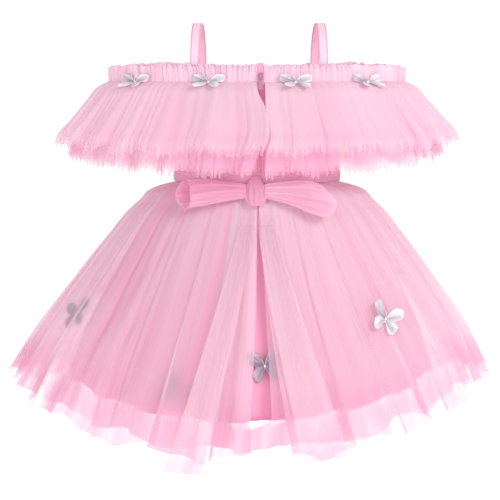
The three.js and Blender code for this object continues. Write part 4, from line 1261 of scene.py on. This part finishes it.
def on_skirt(row):
    """Puts wing points flat across the gathers of the skirt layer that carries them."""
    layer = SKIRTS[row["on"]]
    angle = np.radians(row["angle"])
    down = row["down"]
    middle, outward = skirt_mean(layer, angle, down), skirt_normal(layer, angle, down)
    up = unit(np.array([0, 0, 1]) - outward * outward[2])
    along = np.cross(up, outward)
    clear = skirt_depth(layer, down) + 0.8
    turn = np.radians(row["turn"])

    def place(x, y, raised):
        right = x * np.cos(turn) - y * np.sin(turn)
        high = x * np.sin(turn) + y * np.cos(turn)
        out = clear + raised + row["lift"] * np.abs(x)
        return middle + right[..., None] * along + high[..., None] * up + out[..., None] * outward

    return place


def ball(radius, rings, sides):
    """A small ball as points and faces."""
    around, down = grid(sides, rings, closed=True)
    polar = np.pi * mix(0.06, 0.94, down)
    x, y = np.sin(polar) * np.cos(TURN * around), np.sin(polar) * np.sin(TURN * around)
    faces = with_caps(grid_faces(rings + 1, sides, True), rings + 1, sides)
    return (radius * stacked(x, y, np.cos(polar))).reshape(-1, 3), faces


FEELER_STEPS = 14
WIRE = {"radius": 0.22, "sides": 6}


def feeler(side):
    """The middle line of a feeler, on the wings' flat: a quarter of an arch."""
    share = np.linspace(0, 1, FEELER_STEPS)
    raised = BEAD_RAISED + 2.2 * np.sin(np.pi * share)
    return np.stack([side * (0.6 + 3.4 * share**1.6), 1 + 7.5 * share, raised])


# %% Wings, beads and feelers
butterflies = []
for name, angle in NECK_BUTTERFLIES.items():
    butterflies.append(("neck", name, on_neck(angle), wing_satin))
for row in SKIRT_BUTTERFLIES:
    butterflies.append(("skirt", row["name"], on_skirt(row), row["finish"]))
bead_places, feeler_lines = [], []
for kind, name, place, finish in butterflies:
    x, y, raised, shade = wing_grid(kind)
    sew(
        f"wings_{kind}_{name}", f"butterfly_{kind}_{name}", place(x, y, raised), WING_CUTS[kind],
        finish, "wing", "gathered", "skirt_net_upper", area=WING_AREAS[kind], wall=0.35,
        closed=True, valley=shade, caps=(True, False),
    )
    bead_places.append(place(np.array([0.0]), np.array([0.0]), np.array([BEAD_RAISED]))[0])
    feeler_lines += [place(*feeler(side)) for side in (-1, 1)]

bead_points, bead_faces = ball(1.5, 10, 16)
copies("pearls", bead_points[None] + np.array(bead_places)[:, None], bead_faces, pearl)
angles = TURN * np.arange(WIRE["sides"]) / WIRE["sides"]
circle = WIRE["radius"] * stacked(np.cos(angles), 0.0, np.sin(angles))
wires = np.array(feeler_lines)[:, :, None] + circle
wire_faces = with_caps(grid_faces(*wires.shape[1:3], True), *wires.shape[1:3])
copies("feelers", wires.reshape(len(wires), -1, 3), wire_faces, pearl)

# %% [markdown]
# ## Studio
#
# The dress was photographed on white, in soft light that comes mostly from the right. A white
# world gives the even light, one large lamp the direction, and a plain pale floor lies below.

# %% Floor and light
STAGE_SIZE, FLOOR_Z, BACKDROP_Y = 60, -0.72, 2.6
floor_finish = Finish("floor")
spot = floor_finish.node("ShaderNodeTexCoord", {}, {}, output=3)
mottle = floor_finish.node("ShaderNodeTexNoise", {}, {"Vector": spot, "Scale": 3.0})
pale = floor_finish.blend((0.97, 0.97, 0.97, 1), (0.95, 0.95, 0.95, 1), mottle)
paint = {"Base Color": pale, "Roughness": 0.9, "Emission Color": pale, "Emission Strength": 0.5}
bpy.ops.mesh.primitive_plane_add(size=STAGE_SIZE, location=(0, 0, 0))
floor = bpy.context.object
floor.name = "floor"
floor.data.transform(Matrix.Translation((0, 0, FLOOR_Z)))
floor.data.materials.append(floor_finish.surface(floor_finish.principled(paint)))
upright = (np.pi / 2, 0, 0)
bpy.ops.mesh.primitive_plane_add(size=STAGE_SIZE, rotation=upright, location=(0, BACKDROP_Y, 0))
backdrop = bpy.context.object
backdrop.name = "backdrop"
backdrop_finish = Finish("backdrop")
lit = backdrop_finish.node("ShaderNodeEmission", {}, {"Color": (1, 1, 1, 1), "Strength": 1.02})
backdrop.data.materials.append(backdrop_finish.surface(lit))

world = bpy.data.worlds.new("white_studio")
bpy.context.scene.world = world
world.use_nodes = True
world.node_tree.nodes["Background"].inputs["Color"].default_value = (1, 1, 1, 1)
world.node_tree.nodes["Background"].inputs["Strength"].default_value = 0.55


def lamp(name, place, size, power, target=(0, 0, -0.25)):
    """A square lamp at a place, facing the target."""
    light = bpy.data.lights.new(name, "AREA")
    light.size = size
    light.energy = power
    holder = in_scene(name, light)
    holder.location = place
    holder.rotation_euler = (Vector(target) - Vector(place)).to_track_quat("-Z", "Y").to_euler()


lamp("key", (1.3, -1.5, 0.9), 0.9, 25)
lamp("fill", (-1.2, -1.8, 0.2), 1.2, 9)

# %% Camera
CAMERA = {
    "distance": 1.7, "elevation": np.radians(5), "target": (-0.008, 0, -0.257), "width": 0.575,
}
SENSOR = 36
camera_data = bpy.data.cameras.new("camera")
camera = in_scene("camera", camera_data)
camera_data.sensor_fit = "HORIZONTAL"
camera_data.sensor_width = SENSOR
camera_data.lens = SENSOR * CAMERA["distance"] / CAMERA["width"]
camera.location = (
    CAMERA["target"][0],
    -CAMERA["distance"] * np.cos(CAMERA["elevation"]),
    CAMERA["target"][2] + CAMERA["distance"] * np.sin(CAMERA["elevation"]),
)
camera.rotation_euler = (np.pi / 2 - CAMERA["elevation"], 0, 0)
bpy.context.scene.camera = camera
bpy.context.scene.view_settings.view_transform = "Standard"
bpy.context.scene.cycles.transparent_max_bounces = 32
bpy.context.scene.cycles.max_bounces = 8
bpy.context.scene.cycles.diffuse_bounces = 4
